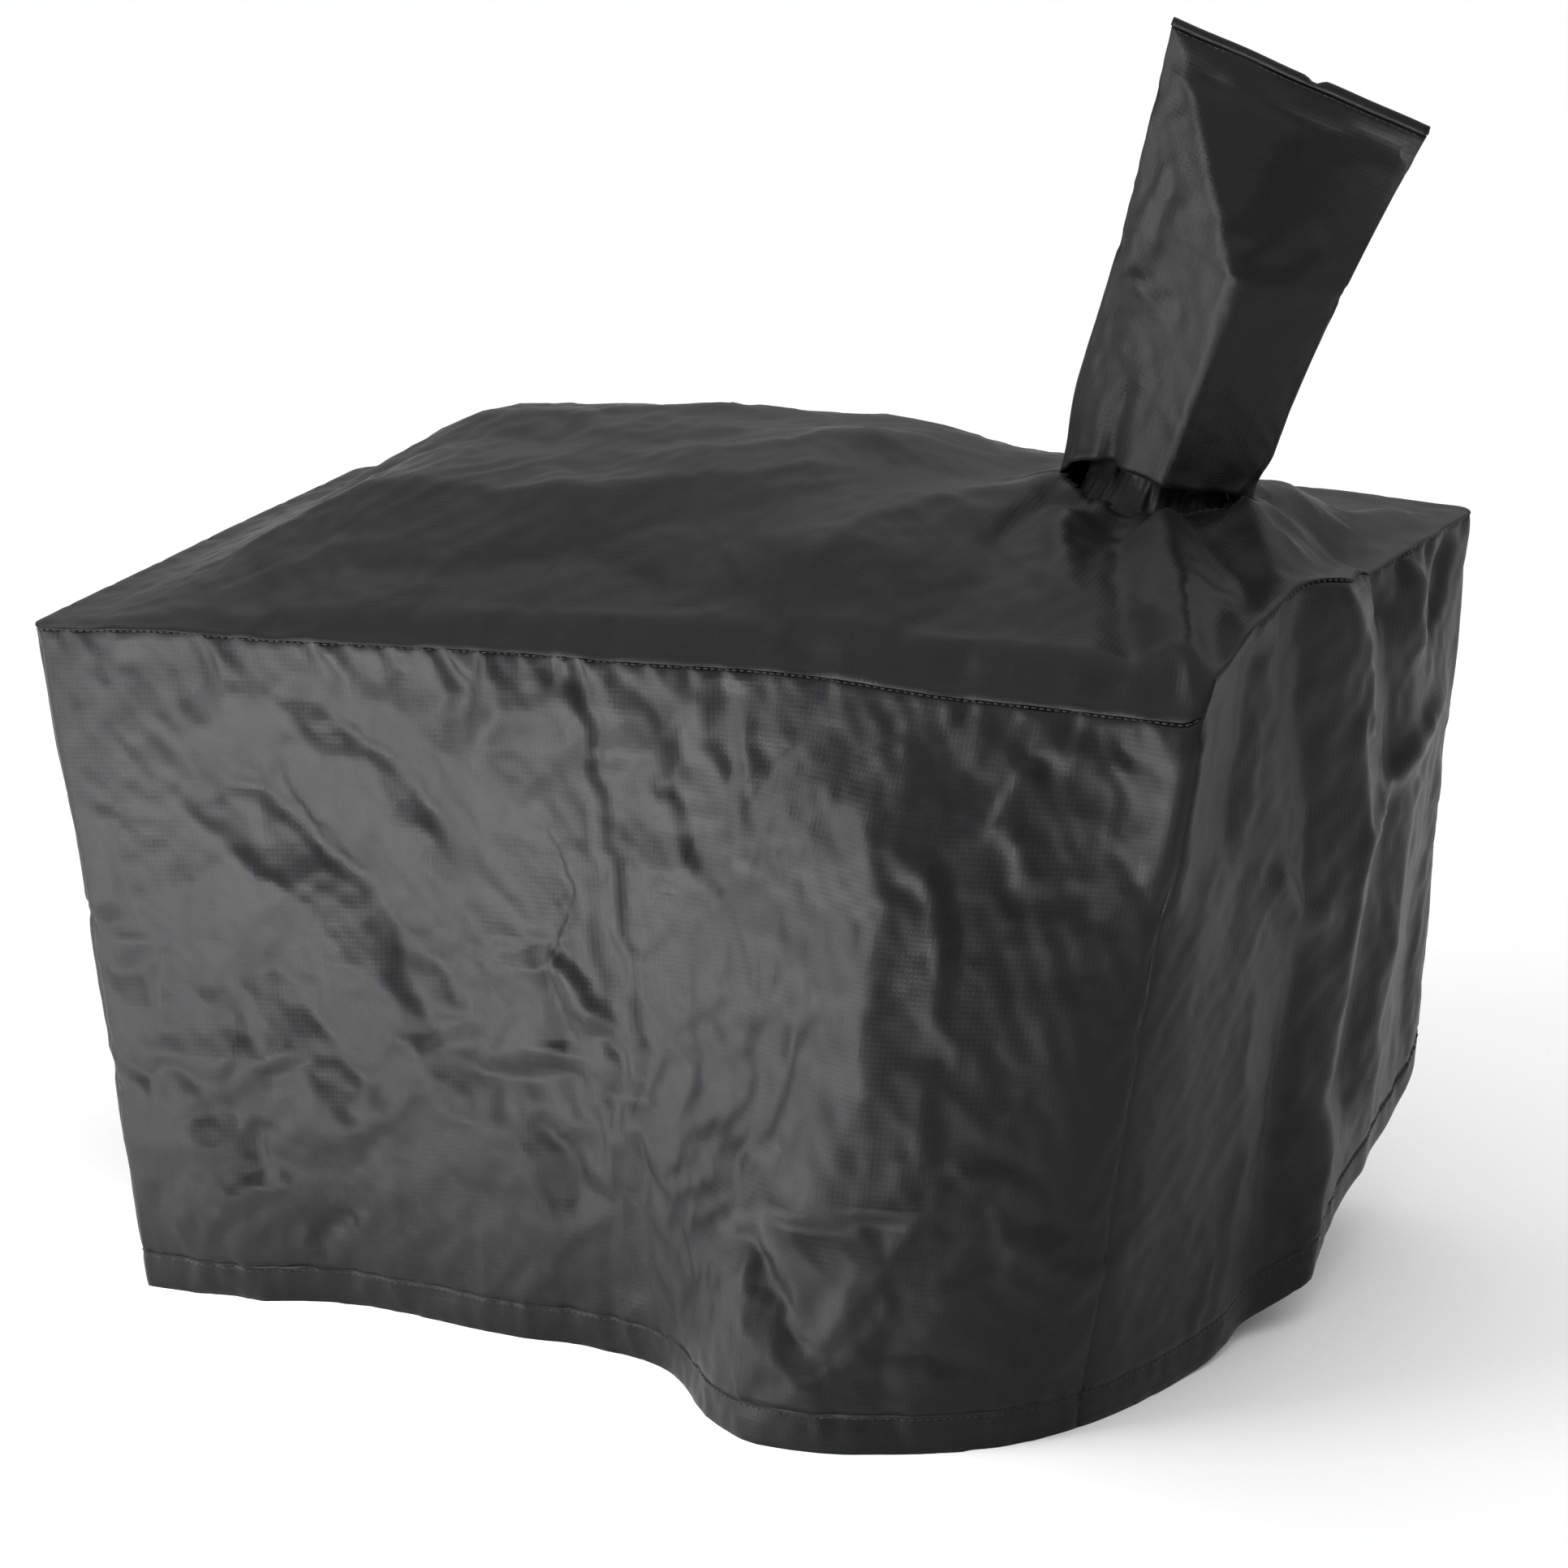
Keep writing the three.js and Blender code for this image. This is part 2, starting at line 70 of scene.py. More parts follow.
def follow(pairs, place):  # eased steps through (place, value) pairs
    places = np.array([pair[0] for pair in pairs], float)
    values = np.array([pair[1] for pair in pairs], float)
    i = np.clip(np.searchsorted(places, place, side="right") - 1, 0, len(pairs) - 2)
    t = np.clip((place - places[i]) / (places[i + 1] - places[i]), 0, 1)
    return values[i] + (values[i + 1] - values[i]) * (1 - np.cos(np.pi * t)) / 2


def wave(x, lengths, seed):  # uneven ripple from a few wavelengths, in millimetres
    phases = np.random.default_rng(seed).uniform(0, 2 * np.pi, len(lengths))
    ripples = [np.sin(2 * np.pi * x / length + phase) for length, phase in zip(lengths, phases)]
    return sum(ripples) / len(lengths)


def drift(x, y, size, seed):  # soft two-way unevenness of about that size
    draws = np.random.default_rng(seed).uniform(0, 2 * np.pi, (6, 2))
    total = 0
    for k, (turn, phase) in enumerate(draws):
        length = size * (0.7 + 0.18 * k)
        total = total + np.sin(2 * np.pi * (x * np.cos(turn) + y * np.sin(turn)) / length + phase)
    return total / 3


# Crumpled cloth: the lowest of many tilted wedges, one for each cell, so that creases stay sharp.
def facets(x, y, size, slope, seed):
    lowX, lowY = np.floor(x.min() / size) - 2, np.floor(y.min() / size) - 2
    shape = (int(np.ceil(x.max() / size) - lowX) + 3, int(np.ceil(y.max() / size) - lowY) + 3)
    draws = np.random.default_rng(seed).uniform(0, 1, shape + (4,))
    cellX, cellY = np.floor(x / size).astype(int), np.floor(y / size).astype(int)
    low = np.full(x.shape, 1e9)
    for stepX in (-1, 0, 1):
        for stepY in (-1, 0, 1):
            seat = draws[(cellX + stepX - int(lowX)), (cellY + stepY - int(lowY))]
            dx = x - (cellX + stepX + seat[..., 0]) * size
            dy = y - (cellY + stepY + seat[..., 1]) * size
            turn = seat[..., 2] * math.pi
            along, across = dx * np.cos(turn) + dy * np.sin(turn), dy * np.cos(turn) - dx * np.sin(turn)
            steep = np.maximum(np.abs(across), 0.55 * np.abs(along) + 0.25 * across)
            low = np.minimum(low, steep + 0.5 * (seat[..., 3] * 2 - 1) * along)
    return (low - low.mean()) * slope


# Height of listed folds: each follows a path, a little raggedly, and falls away on both sides of it.
# soft rounds the crest, form above 1 makes it sharper, fades are the shares of the path where it comes
# and goes.
def foldLift(x, y, folds):
    total = np.zeros_like(x)
    x, y = (x + 2.6 * drift(x, y, 64, 5) + 0.8 * drift(x, y, 24, 6),
            y + 2.6 * drift(x, y, 58, 7) + 0.8 * drift(x, y, 22, 8))
    for fold in folds:
        path = np.array(fold["path"], float)
        lengths = np.hypot(*np.diff(path, axis=0).T)
        starts = np.concatenate([[0], np.cumsum(lengths)])
        best = np.full(x.shape, 1e9)
        hand = np.zeros_like(x)
        along = np.zeros_like(x)
        for i, length in enumerate(lengths):
            ux, uy = (path[i + 1] - path[i]) / length
            px, py = x - path[i][0], y - path[i][1]
            t = np.clip(px * ux + py * uy, 0, length)
            away = np.hypot(px - t * ux, py - t * uy)
            closer = away < best
            best = np.where(closer, away, best)
            hand = np.where(closer, ux * py - uy * px, hand)
            along = np.where(closer, (starts[i] + t) / starts[-1], along)
        left, right = fold["widths"]
        soft = fold["soft"]
        width = left + (right - left) * smooth(-hand, -soft, soft)
        rounded = np.sqrt(best ** 2 + soft ** 2) - soft
        profile = np.clip(1 - rounded / width, 0, 1) ** fold["form"]
        fadeIn, fadeOut = fold["fades"]
        profile = profile * (smooth(along, 0, fadeIn) if fadeIn else 1)
        profile = profile * (1 - smooth(along, 1 - fadeOut, 1) if fadeOut else 1)
        total += fold["lift"] * profile
    return total


# Camera: a long lens, turned to the chimney side and a little above

cameraSet = {
    "place": (2005.06, -3800.83, 1626.23),
    "yaw": -0.4825,
    "pitch": 0.3015,
    "roll": -0.0502,
    "lens": 175.8,
    "sensor": 36,
    "reach": 100,  # metres
}


def makeCamera():
    data = bpy.data.cameras.new("camera")
    data.lens = cameraSet["lens"]
    data.sensor_width = cameraSet["sensor"]
    data.clip_end = cameraSet["reach"]
    camera = bpy.data.objects.new("camera", data)
    scene.collection.objects.link(camera)
    yaw, pitch, roll = cameraSet["yaw"], cameraSet["pitch"], cameraSet["roll"]
    forward = Vector((math.sin(yaw) * math.cos(pitch), math.cos(yaw) * math.cos(pitch), -math.sin(pitch)))
    level = Vector((math.cos(yaw), -math.sin(yaw), 0))
    up = level.cross(forward)
    right = level * math.cos(roll) + up * math.sin(roll)
    above = up * math.cos(roll) - level * math.sin(roll)
    turn = Matrix((right, above, -forward)).transposed()
    place = (Vector(cameraSet["place"]) + Vector(shiftMm)) / 1000
    camera.matrix_world = Matrix.Translation(place) @ turn.to_4x4()
    scene.camera = camera


makeCamera()


# The cover's outline: seam round the top panel (share of the side, height), hem below (x, y, z)

seamHeights = {
    "front": [(0, 410), (0.14, 416), (0.5, 424), (0.66, 427), (0.82, 422), (1, 420)],
    "right": [(0, 420), (0.05, 443), (0.2, 456), (0.36, 462), (0.5, 452), (0.62, 441), (1, 437)],
    "back": [(0, 437), (0.14, 441), (0.5, 433), (0.8, 424), (1, 405)],
    "left": [(0, 405), (0.5, 408), (1, 410)],
}
hemOutline = {
    "front": [(-338, -186, 0), (-326, -191, 0), (-250, -180, 0), (-150, -177, 0), (-70, -186, 0),
              (0, -190, 0), (44, -211, 0), (92, -250, 0), (147, -269, 0), (205, -266, 0), (255, -242, 0)],
    "right": [(285, -203, 0), (301, -157, 0), (313, -99, 2), (320, -35, 16), (323, 25, 42), (327, 85, 60),
              (332, 140, 72), (338, 178, 92)],
    "back": [(333, 191, 104), (292, 195, 92), (225, 190, 45), (160, 186, 8), (100, 188, 0), (0, 184, 0),
             (-120, 190, 0), (-230, 184, 0), (-325, 188, 0)],
    "left": [(-338, 182, 0), (-344, 140, 0), (-336, 60, 0), (-342, -40, 0), (-337, -130, 0),
             (-343, -172, 0)],
}
sideNames = ["front", "right", "back", "left"]
sideSizes = [cover["length"], cover["width"], cover["length"], cover["width"]]
halfArc = cover["cornerRadius"] * math.pi / 4
seamLengths = [size - 2 * cover["cornerRadius"] + 2 * halfArc for size in sideSizes]
sideCells = [round(length / cover["cell"]) for length in seamLengths]
cornerColumns = np.concatenate([[0], np.cumsum(sideCells)])
columns = cornerColumns[-1]
hood = {"xFrom": -165, "xTo": 45, "yCrest": 62, "rise": 66, "endFade": 0.16}  # the grill's lid lifts the top
tent = {"top": 488, "spread": 52, "reach": 170, "edgeFade": 50, "frontFrom": -10, "frontTo": 60}
sleeve = {
    "base": np.array([259.0, 0.0, 488.4]),
    "half": (57, 47),
    "length": 264,
    "lean": math.radians(23),
    "tipTilt": math.radians(20),
    "girth": 322,
    "tipHalf": 80,
    "shoulder": (0.2, 62),  # share of the length where it starts to widen, half width there
    "setBack": 0.064,  # share of the length, times the lean, that the axis steps back
}


def topHeight(x, y):
    across = np.clip(x / cover["length"] + 0.5, 0, 1)
    deep = np.clip(y / cover["width"] + 0.5, 0, 1)
    front, back = follow(seamHeights["front"], across), follow(seamHeights["back"], 1 - across)
    left, right = follow(seamHeights["left"], 1 - deep), follow(seamHeights["right"], deep)
    frontCorners = seamHeights["front"][0][1], seamHeights["front"][-1][1]
    backCorners = seamHeights["back"][-1][1], seamHeights["back"][0][1]
    corners = (1 - deep) * (frontCorners[0] + (frontCorners[1] - frontCorners[0]) * across)
    corners = corners + deep * (backCorners[0] + (backCorners[1] - backCorners[0]) * across)
    edge = (1 - deep) * front + deep * back + (1 - across) * left + across * right - corners

    baseX, halfWidth = sleeve["base"][0], cover["width"] / 2
    hoodAcross = smooth(x, -cover["length"] / 2, hood["xFrom"])
    hoodAcross = hoodAcross * (1 - (1 - hood["endFade"]) * smooth(x, hood["xTo"], baseX))
    hoodAcross = hoodAcross * (1 - smooth(x, baseX, cover["length"] / 2))
    rising = np.sin(np.pi / 2 * np.clip((y + halfWidth) / (hood["yCrest"] + halfWidth), 0, 1))
    hoodDeep = np.where(y < hood["yCrest"], rising, 1 - smooth(y, hood["yCrest"], halfWidth))
    lifted = edge + hood["rise"] * hoodAcross * hoodDeep

    away = np.hypot((x - baseX) / sleeve["half"][0], y / sleeve["half"][1]) - 1
    away = np.maximum(away, 0) * sleeve["half"][1]
    edgeGap = np.minimum(cover["length"] / 2 - np.abs(x), halfWidth - np.abs(y))
    curved = np.exp(-(away / tent["spread"]) ** 2) * smooth(edgeGap, 0, tent["edgeFade"])
    reach = np.minimum(edgeGap + away + 1e-6, tent["reach"])
    taut = np.clip(1 - away / reach, 0, 1)  # straight from the collar
    facing = smooth(-y, tent["frontFrom"], tent["frontTo"])
    pull = curved * (1 - facing) + np.maximum(curved, taut) * facing
    return lifted + (tent["top"] - lifted) * pull


def seamRing():  # one point for each column, anticlockwise from the front left corner
    radius = cover["cornerRadius"]
    along = [  # each side's first corner, direction and way out
        ((-1, -1), (1, 0), (0, -1)),
        ((1, -1), (0, 1), (1, 0)),
        ((1, 1), (-1, 0), (0, 1)),
        ((-1, 1), (0, -1), (-1, 0)),
    ]
    parts = []
    for side, (corner, direction, out) in enumerate(along):
        distance = seamLengths[side] * np.arange(sideCells[side]) / sideCells[side]
        straight = sideSizes[side] - 2 * radius
        turned = np.minimum(distance - halfArc, 0) + np.maximum(distance - halfArc - straight, 0)
        onward = radius + np.clip(distance - halfArc, 0, straight) + radius * np.sin(turned / radius)
        outward = radius * (np.cos(turned / radius) - 1)
        x = corner[0] * cover["length"] / 2 + direction[0] * onward + out[0] * outward
        y = corner[1] * cover["width"] / 2 + direction[1] * onward + out[1] * outward
        parts.append(np.stack([x, y, topHeight(x, y)], 1))
    return np.concatenate(parts)


def hemRing():  # a smooth loop through the outline, shared out over the columns side by side
    points = np.array([p for name in sideNames for p in hemOutline[name]], float)
    before, after, second = (np.roll(points, k, 0) for k in (1, -1, -2))
    steps = 24
    dense = []
    for i in range(len(points)):
        t = (np.arange(steps) / steps)[:, None]
        dense.append(0.5 * (2 * points[i] + (after[i] - before[i]) * t
                            + (2 * before[i] - 5 * points[i] + 4 * after[i] - second[i]) * t ** 2
                            + (3 * points[i] - before[i] - 3 * after[i] + second[i]) * t ** 3))
    dense = np.concatenate(dense + [points[:1]])
    run = np.concatenate([[0], np.cumsum(np.linalg.norm(np.diff(dense, axis=0), axis=1))])
    parts, first = [], 0
    for side, name in enumerate(sideNames):
        last = first + len(hemOutline[name]) * steps
        distance = run[first] + (run[last] - run[first]) * np.arange(sideCells[side]) / sideCells[side]
        parts.append(np.stack([np.interp(distance, run, dense[:, k]) for k in range(3)], 1))
        first = last
    ring = np.concatenate(parts)
    ring[:, 2] = np.maximum(ring[:, 2], 0)
    return ring


# Folds that hang in the skirt: paths are (along, height); widths are those left and right of the path

def fold(path, lift, widths, soft, form=1.3, fades=(0.2, 0.2)):
    return {"path": path, "lift": lift, "widths": widths, "soft": soft, "form": form, "fades": fades}


frontFolds = [
    fold([(172, 408), (190, 340), (196, 300), (189, 255), (182, 190), (150, 130),
          (118, 88), (118, 40), (124, 0)], 20, (135, 130), 9, form=1.7, fades=(0.17, 0)),
    fold([(-252, 366), (-238, 326), (-198, 294), (-162, 262), (-122, 222), (-92, 172), (-80, 142)],
         -7.6, (44, 40), 3, form=1.3, fades=(0.25, 0.2)),
    fold([(-150, 250), (-141, 205), (-122, 170)], -3.6, (24, 14), 2),
    fold([(-196, 398), (-176, 368), (-140, 350), (-112, 312), (-98, 276)],
         -4.6, (26, 20), 2.5, fades=(0.15, 0.3)),
    fold([(-94, 418), (-84, 388), (-104, 358)], -5, (18, 14), 2, fades=(0.1, 0.4)),
    fold([(-128, 168), (-84, 156), (-24, 172)], -6.5, (18, 30), 2, fades=(0.3, 0.1)),
    fold([(-66, 142), (-40, 118), (-30, 78)], -6.5, (20, 22), 3, fades=(0.2, 0.3)),
    fold([(-70, 222), (-40, 240), (-6, 196)], 4.3, (12, 22), 1.5, fades=(0.2, 0.2)),
    fold([(-46, 230), (-34, 204), (-44, 182)], -2.9, (12, 14), 1.5),
    fold([(-22, 214), (2, 180), (14, 150)], -2.9, (10, 16), 1.5),
    fold([(-18, 412), (-10, 392), (1, 328), (9, 240), (11, 188), (11, 99)],
         2.2, (4, 16), 0.5, fades=(0.05, 0.15)),
    fold([(-26, 345), (-20, 320), (-12, 200), (-11, 136), (-6, 60)], 2, (14, 4), 0.5, fades=(0.1, 0.15)),
    fold([(-244, 236), (-205, 180), (-158, 128)], -3.6, (34, 26), 4),
    fold([(-252, 138), (-228, 146), (-208, 150)], -2.9, (8, 14), 1.5),
    fold([(-226, 30), (-210, 48), (-194, 64)], -3.6, (7, 14), 1),
    fold([(-250, 122), (-254, 96), (-250, 70)], -2.9, (12, 9), 1.5),
    fold([(-366, 214), (-336, 200), (-296, 206)], -5, (14, 18), 2, fades=(0, 0.4)),
    fold([(-362, 300), (-340, 262), (-336, 226)], -2.9, (18, 14), 2),
    fold([(-350, 150), (-318, 134), (-286, 140)], -2.9, (16, 12), 2, fades=(0, 0.4)),
    fold([(-340, 90), (-316, 78), (-300, 50)], -2.9, (12, 16), 2, fades=(0, 0.4)),
    fold([(84, 414), (80, 385), (92, 350)], -2.4, (13, 9), 1.5, fades=(0, 0.5)),
    fold([(112, 396), (106, 350), (100, 296)], -1.8, (16, 9), 1.5),
    fold([(58, 400), (48, 352), (66, 300)], -2.9, (18, 12), 2),
    fold([(150, 262), (132, 205), (118, 160)], -2.5, (9, 16), 1.5),
    fold([(96, 118), (146, 127), (200, 131), (250, 133)], -3.6, (6, 22), 1, fades=(0.3, 0.2)),
    fold([(106, 124), (128, 90), (150, 45)], -5.8, (14, 18), 1.5),
    fold([(152, 50), (200, 112), (251, 178)], 4.3, (14, 22), 1.5),
    fold([(140, 24), (180, 52), (205, 96)], 2.9, (10, 16), 1.5),
    fold([(216, 350), (226, 300), (222, 240)], 2.9, (10, 20), 1.5),
    fold([(268, 400), (262, 360), (278, 310)], 2.9, (18, 14), 2),
    fold([(228, 230), (212, 160), (204, 110)], 2.9, (12, 20), 2),
    fold([(-300, 130), (-270, 60), (-262, 0)], 3.6, (42, 40), 5, fades=(0.3, 0)),
    fold([(-205, 120), (-196, 60), (-200, 0)], -3.6, (34, 40), 5, fades=(0.3, 0)),
    fold([(-130, 100), (-84, 78), (-50, 30), (-44, 0)], -2.9, (24, 26), 3, fades=(0.3, 0)),
]
endFolds = [
    fold([(-26, 462), (-14, 400), (6, 308), (8, 200), (3, 93), (-6, 20)],
         23, (150, 46), 2.5, form=1.2, fades=(0, 0)),
    fold([(52, 458), (60, 380), (66, 300), (52, 200), (44, 100)], -12, (34, 96), 5, fades=(0, 0.1)),
    fold([(-112, 452), (-120, 400), (-132, 340), (-128, 300)], -6, (22, 40), 3, fades=(0.1, 0.4)),
    fold([(-10, 430), (4, 380), (24, 340)], 5, (16, 10), 1.5),
    fold([(172, 344), (100, 322), (41, 303), (-10, 284)], 6, (24, 12), 1.5),
    fold([(-80, 300), (-40, 262), (-8, 250)], 4, (12, 18), 1.5),
    fold([(-90, 250), (-76, 120), (-80, 10)], 3, (34, 30), 5, fades=(0.3, 0)),
    fold([(-40, 250), (-34, 140), (-38, 20)], -2, (16, 20), 3, fades=(0.3, 0)),
    fold([(100, 250), (92, 150), (88, 60)], 4, (30, 34), 4, fades=(0.3, 0)),
    fold([(160, 436), (148, 400), (120, 366)], -6, (12, 20), 1.5, fades=(0, 0.4)),
    fold([(96, 442), (92, 402), (112, 366)], 6, (12, 20), 1.5, fades=(0, 0.4)),
    fold([(30, 455), (44, 424), (74, 400)], -5, (10, 18), 1.5, fades=(0, 0.4)),
    fold([(170, 330), (152, 220), (146, 110)], -3, (34, 32), 4),
]
backFolds = [
    fold([(-260, 420), (-240, 300), (-215, 150), (-205, 40)], 12, (110, 90), 8, form=1.7),
    fold([(-120, 410), (-110, 260), (-130, 120), (-128, 0)], -11, (80, 100), 8, form=1.6, fades=(0.2, 0)),
    fold([(20, 420), (0, 300), (-30, 200)], 7, (34, 50), 3),
    fold([(120, 415), (150, 320), (210, 240), (262, 140)], -11, (30, 50), 3),
    fold([(250, 380), (265, 250), (250, 120), (255, 0)], 10, (70, 60), 6, fades=(0.2, 0)),
    fold([(60, 200), (72, 90), (66, 0)], 8, (50, 48), 5, fades=(0.3, 0)),
    fold([(-330, 380), (-300, 330), (-262, 296)], -7, (20, 26), 2),
    fold([(-60, 330), (-20, 262), (40, 232)], -6, (20, 28), 2),
]
leftFolds = [
    fold([(-110, 400), (-90, 280), (-96, 130), (-90, 0)], 9, (66, 60), 6, fades=(0.2, 0)),
    fold([(10, 400), (24, 280), (60, 190)], -9, (28, 50), 3),
    fold([(110, 390), (92, 240), (104, 90), (100, 0)], 8, (60, 56), 5, fades=(0.2, 0)),
    fold([(0, 190), (-10, 90), (2, 0)], -7, (44, 44), 5, fades=(0.3, 0)),
    fold([(-150, 300), (-110, 262), (-60, 250)], -5, (16, 24), 2),
]
cornerFolds = [  # along is the distance past the front right corner
    fold([(0, 424), (0, 380), (4, 340), (10, 300)], 8, (26, 40), 1, form=1.2, fades=(0.1, 0.3)),
    fold([(-70, 120), (-20, 96), (30, 100)], 3, (20, 26), 3),
]
topFolds = [
    fold([(-322, -112), (-288, -99), (-222, -61), (-153, -77), (-70, -92), (10, -86)], 6, (34, 44), 2.5),
    fold([(-120, -84), (-32, -80), (30, -62), (110, -20)], 5, (30, 34), 2),
    fold([(-60, -60), (10, -30), (100, 30), (160, 48)], 5, (40, 36), 2.5),
    fold([(-300, -20), (-200, 10), (-90, -10)], -5, (36, 36), 3),
    fold([(-250, 60), (-130, 40), (0, 64)], 3, (24, 30), 2),
    fold([(96, -180), (112, -140), (140, -96), (176, -52), (206, -20)],
         13, (62, 80), 1.5, form=1.2, fades=(0.25, 0)),
    fold([(205, -34), (234, -52), (258, -56), (286, -50), (310, -32)], -6, (16, 16), 3),
    fold([(196, -190), (220, -120), (240, -62)], -3, (50, 40), 4, fades=(0.3, 0.05)),
    fold([(262, -56), (288, -120), (330, -188)], -4, (22, 24), 1.5, fades=(0.05, 0.1)),
    fold([(288, -50), (326, -112), (370, -190)], 12, (18, 30), 1, form=1.2, fades=(0.05, 0)),
    fold([(234, -60), (250, -110), (262, -150)], 5, (16, 14), 1.5, fades=(0, 0.5)),
    fold([(212, -44), (206, -92), (214, -140)], -4, (16, 14), 1.5, fades=(0, 0.5)),
    fold([(316, -22), (346, -34), (374, -26)], 13, (34, 40), 1.5, fades=(0.1, 0)),
    fold([(314, 22), (345, 42), (374, 58)], -8, (26, 30), 2.5, fades=(0.1, 0.1)),
    fold([(318, -44), (344, -78), (374, -112)], -6, (20, 20), 2, fades=(0.1, 0.1)),
    fold([(300, 48), (330, 110), (352, 170)], 7, (30, 30), 2.5),
    fold([(215, 44), (170, 96), (110, 150)], 7, (40, 36), 2.5),
    fold([(258, 56), (252, 110), (262, 180)], -5, (30, 30), 3),
    fold([(-340, 150), (-240, 120), (-150, 130)], 5, (44, 40), 4),
    fold([(-140, -150), (-50, -132), (50, -156)], -4, (26, 30), 3),
    fold([(-260, -172), (-190, -140), (-120, -146)], -3, (20, 24), 2),
]
swells = [
    {"at": 0.28, "spread": 0.12, "down": 0.3, "depth": 0.3, "push": -7},
    {"at": 1.55, "spread": 0.3, "down": 0.35, "depth": 0.35, "push": 10},
    {"at": 2.2, "spread": 0.3, "down": 0.45, "depth": 0.3, "push": 10},
    {"at": 3.5, "spread": 0.3, "down": 0.4, "depth": 0.3, "push": 5},
]


def ringNormals(grid):  # horizontal direction out of each point of a closed skirt grid
    tangent = np.roll(grid, -1, 1) - np.roll(grid, 1, 1)
    normal = np.stack([tangent[..., 1], -tangent[..., 0], np.zeros(grid.shape[:2])], 2)
    return normal / np.maximum(np.linalg.norm(normal, axis=2, keepdims=True), 1e-6)


def columnPlaces(count):  # side number plus the share of its length
    scale = count / columns
    column = np.arange(count) / scale
    side = np.clip(np.searchsorted(cornerColumns, column, side="right") - 1, 0, 3)
    return side + (column - cornerColumns[side]) / np.array(sideCells)[side]


def cornerFade(place, reach):  # 0 at a corner seam, 1 away from it; reach in millimetres
    side = np.clip(np.floor(place).astype(int), 0, 3)
    share = place - side
    gap = np.minimum(share, 1 - share) * np.array(seamLengths)[side]
    return smooth(gap, 0, reach)


def ringDistance(count):  # distance round the seam at each column
    place = columnPlaces(count)
    side = np.clip(np.floor(place).astype(int), 0, 3)
    starts = np.concatenate([[0], np.cumsum(seamLengths)])
    return starts[side] + (place - side) * np.array(seamLengths)[side]


skirtHang = {
    "cornerEase": [0.35, 1.0, 0.6, 0.4],  # how far the corners open into a curve below the seam
    "easeWidth": 75,
    "easeDrop": (40, 170),  # where that starts and where it is full, below the seam
    "easeTurns": 24,
    "seamFade": (-4, 22),  # folds start flat at the seam
    "cornerFade": 46,
    "chimneyRidge": {"strength": 0.55, "at": -20, "width": 46},  # the one fold that runs on over the seam
    "cornerReach": 160,
}


def shapeSkirt():
    top, hem = seamRing(), hemRing()
    down = (np.arange(cover["rows"] + 1) / cover["rows"])[:, None, None]
    grid = top[None] * (1 - down) + hem[None] * down
    place = columnPlaces(columns)
    push = np.zeros(grid.shape[:2])
    for swell in swells:
        away = (place[None] - swell["at"]) / swell["spread"]
        below = (down[..., 0] - swell["down"]) / swell["depth"]
        push += swell["push"] * np.exp(-away ** 2 - below ** 2)
    push *= np.sin(np.pi * down[..., 0])
    side = np.floor(place).astype(int)
    below = top[None, :, 2] - grid[..., 2]
    around = ringDistance(columns)
    total = sum(seamLengths)
    rounded = grid
    for turn in range(skirtHang["easeTurns"]):
        rounded = (np.roll(rounded, 1, 1) + 2 * rounded + np.roll(rounded, -1, 1)) / 4
    soften = np.zeros(grid.shape[:2])
    for corner, strength in enumerate(skirtHang["cornerEase"]):
        gap = (around - sum(seamLengths[:corner]) + total / 2) % total - total / 2
        near = np.exp(-(gap / skirtHang["easeWidth"]) ** 2)[None]
        soften = np.maximum(soften, strength * near * smooth(below, *skirtHang["easeDrop"]))
    grid = grid + (rounded - grid) * soften[..., None]
    normal = ringNormals(grid)
    for k, folds in enumerate([frontFolds, endFolds, backFolds, leftFolds]):
        pick = side == k
        part = grid[:, pick]
        along = [part[..., 0], part[..., 1], -part[..., 0], -part[..., 1]][k]
        push[:, pick] += foldLift(along, part[..., 2], folds)
    seamFade = smooth(below, *skirtHang["seamFade"])
    ridge = skirtHang["chimneyRidge"]
    keep = ridge["strength"] * np.exp(-((top[:, 1] - ridge["at"]) / ridge["width"]) ** 2) * (side == 1)
    seamFade = keep[None] + (1 - keep[None]) * seamFade
    push *= seamFade * cornerFade(place, skirtHang["cornerFade"])[None]
    gap = around - seamLengths[0]
    near = np.abs(gap) < skirtHang["cornerReach"]
    past = gap[None, near] + 0 * below[:, near]
    push[:, near] += foldLift(past, grid[:, near, 2], cornerFolds) * seamFade[:, near]
    return grid + normal * push[..., None]


topEdgeFade = 26  # the top's folds start flat at its seam


def shapeTop(ring):
    across, deep = sideCells[0], sideCells[1]
    front = ring[:across + 1]
    right = ring[across:across + deep + 1]
    back = ring[across + deep:2 * across + deep + 1][::-1]
    left = np.concatenate([ring[2 * across + deep:], ring[:1]])[::-1]
    s = (np.arange(across + 1) / across)[None, :, None]
    t = (np.arange(deep + 1) / deep)[:, None, None]
    grid = (1 - t) * front[None] + t * back[None] + (1 - s) * left[:, None] + s * right[:, None]
    grid -= (1 - t) * ((1 - s) * front[0] + s * front[-1]) + t * ((1 - s) * back[0] + s * back[-1])
    x, y = grid[..., 0], grid[..., 1]
    lift = foldLift(x, y, topFolds)
    edgeGap = np.minimum(cover["length"] / 2 - np.abs(x), cover["width"] / 2 - np.abs(y))
    grid[..., 2] = topHeight(x, y) + lift * smooth(edgeGap, 0, topEdgeFade)
    grid[0], grid[-1], grid[:, 0], grid[:, -1] = front, back, left, right
    return grid


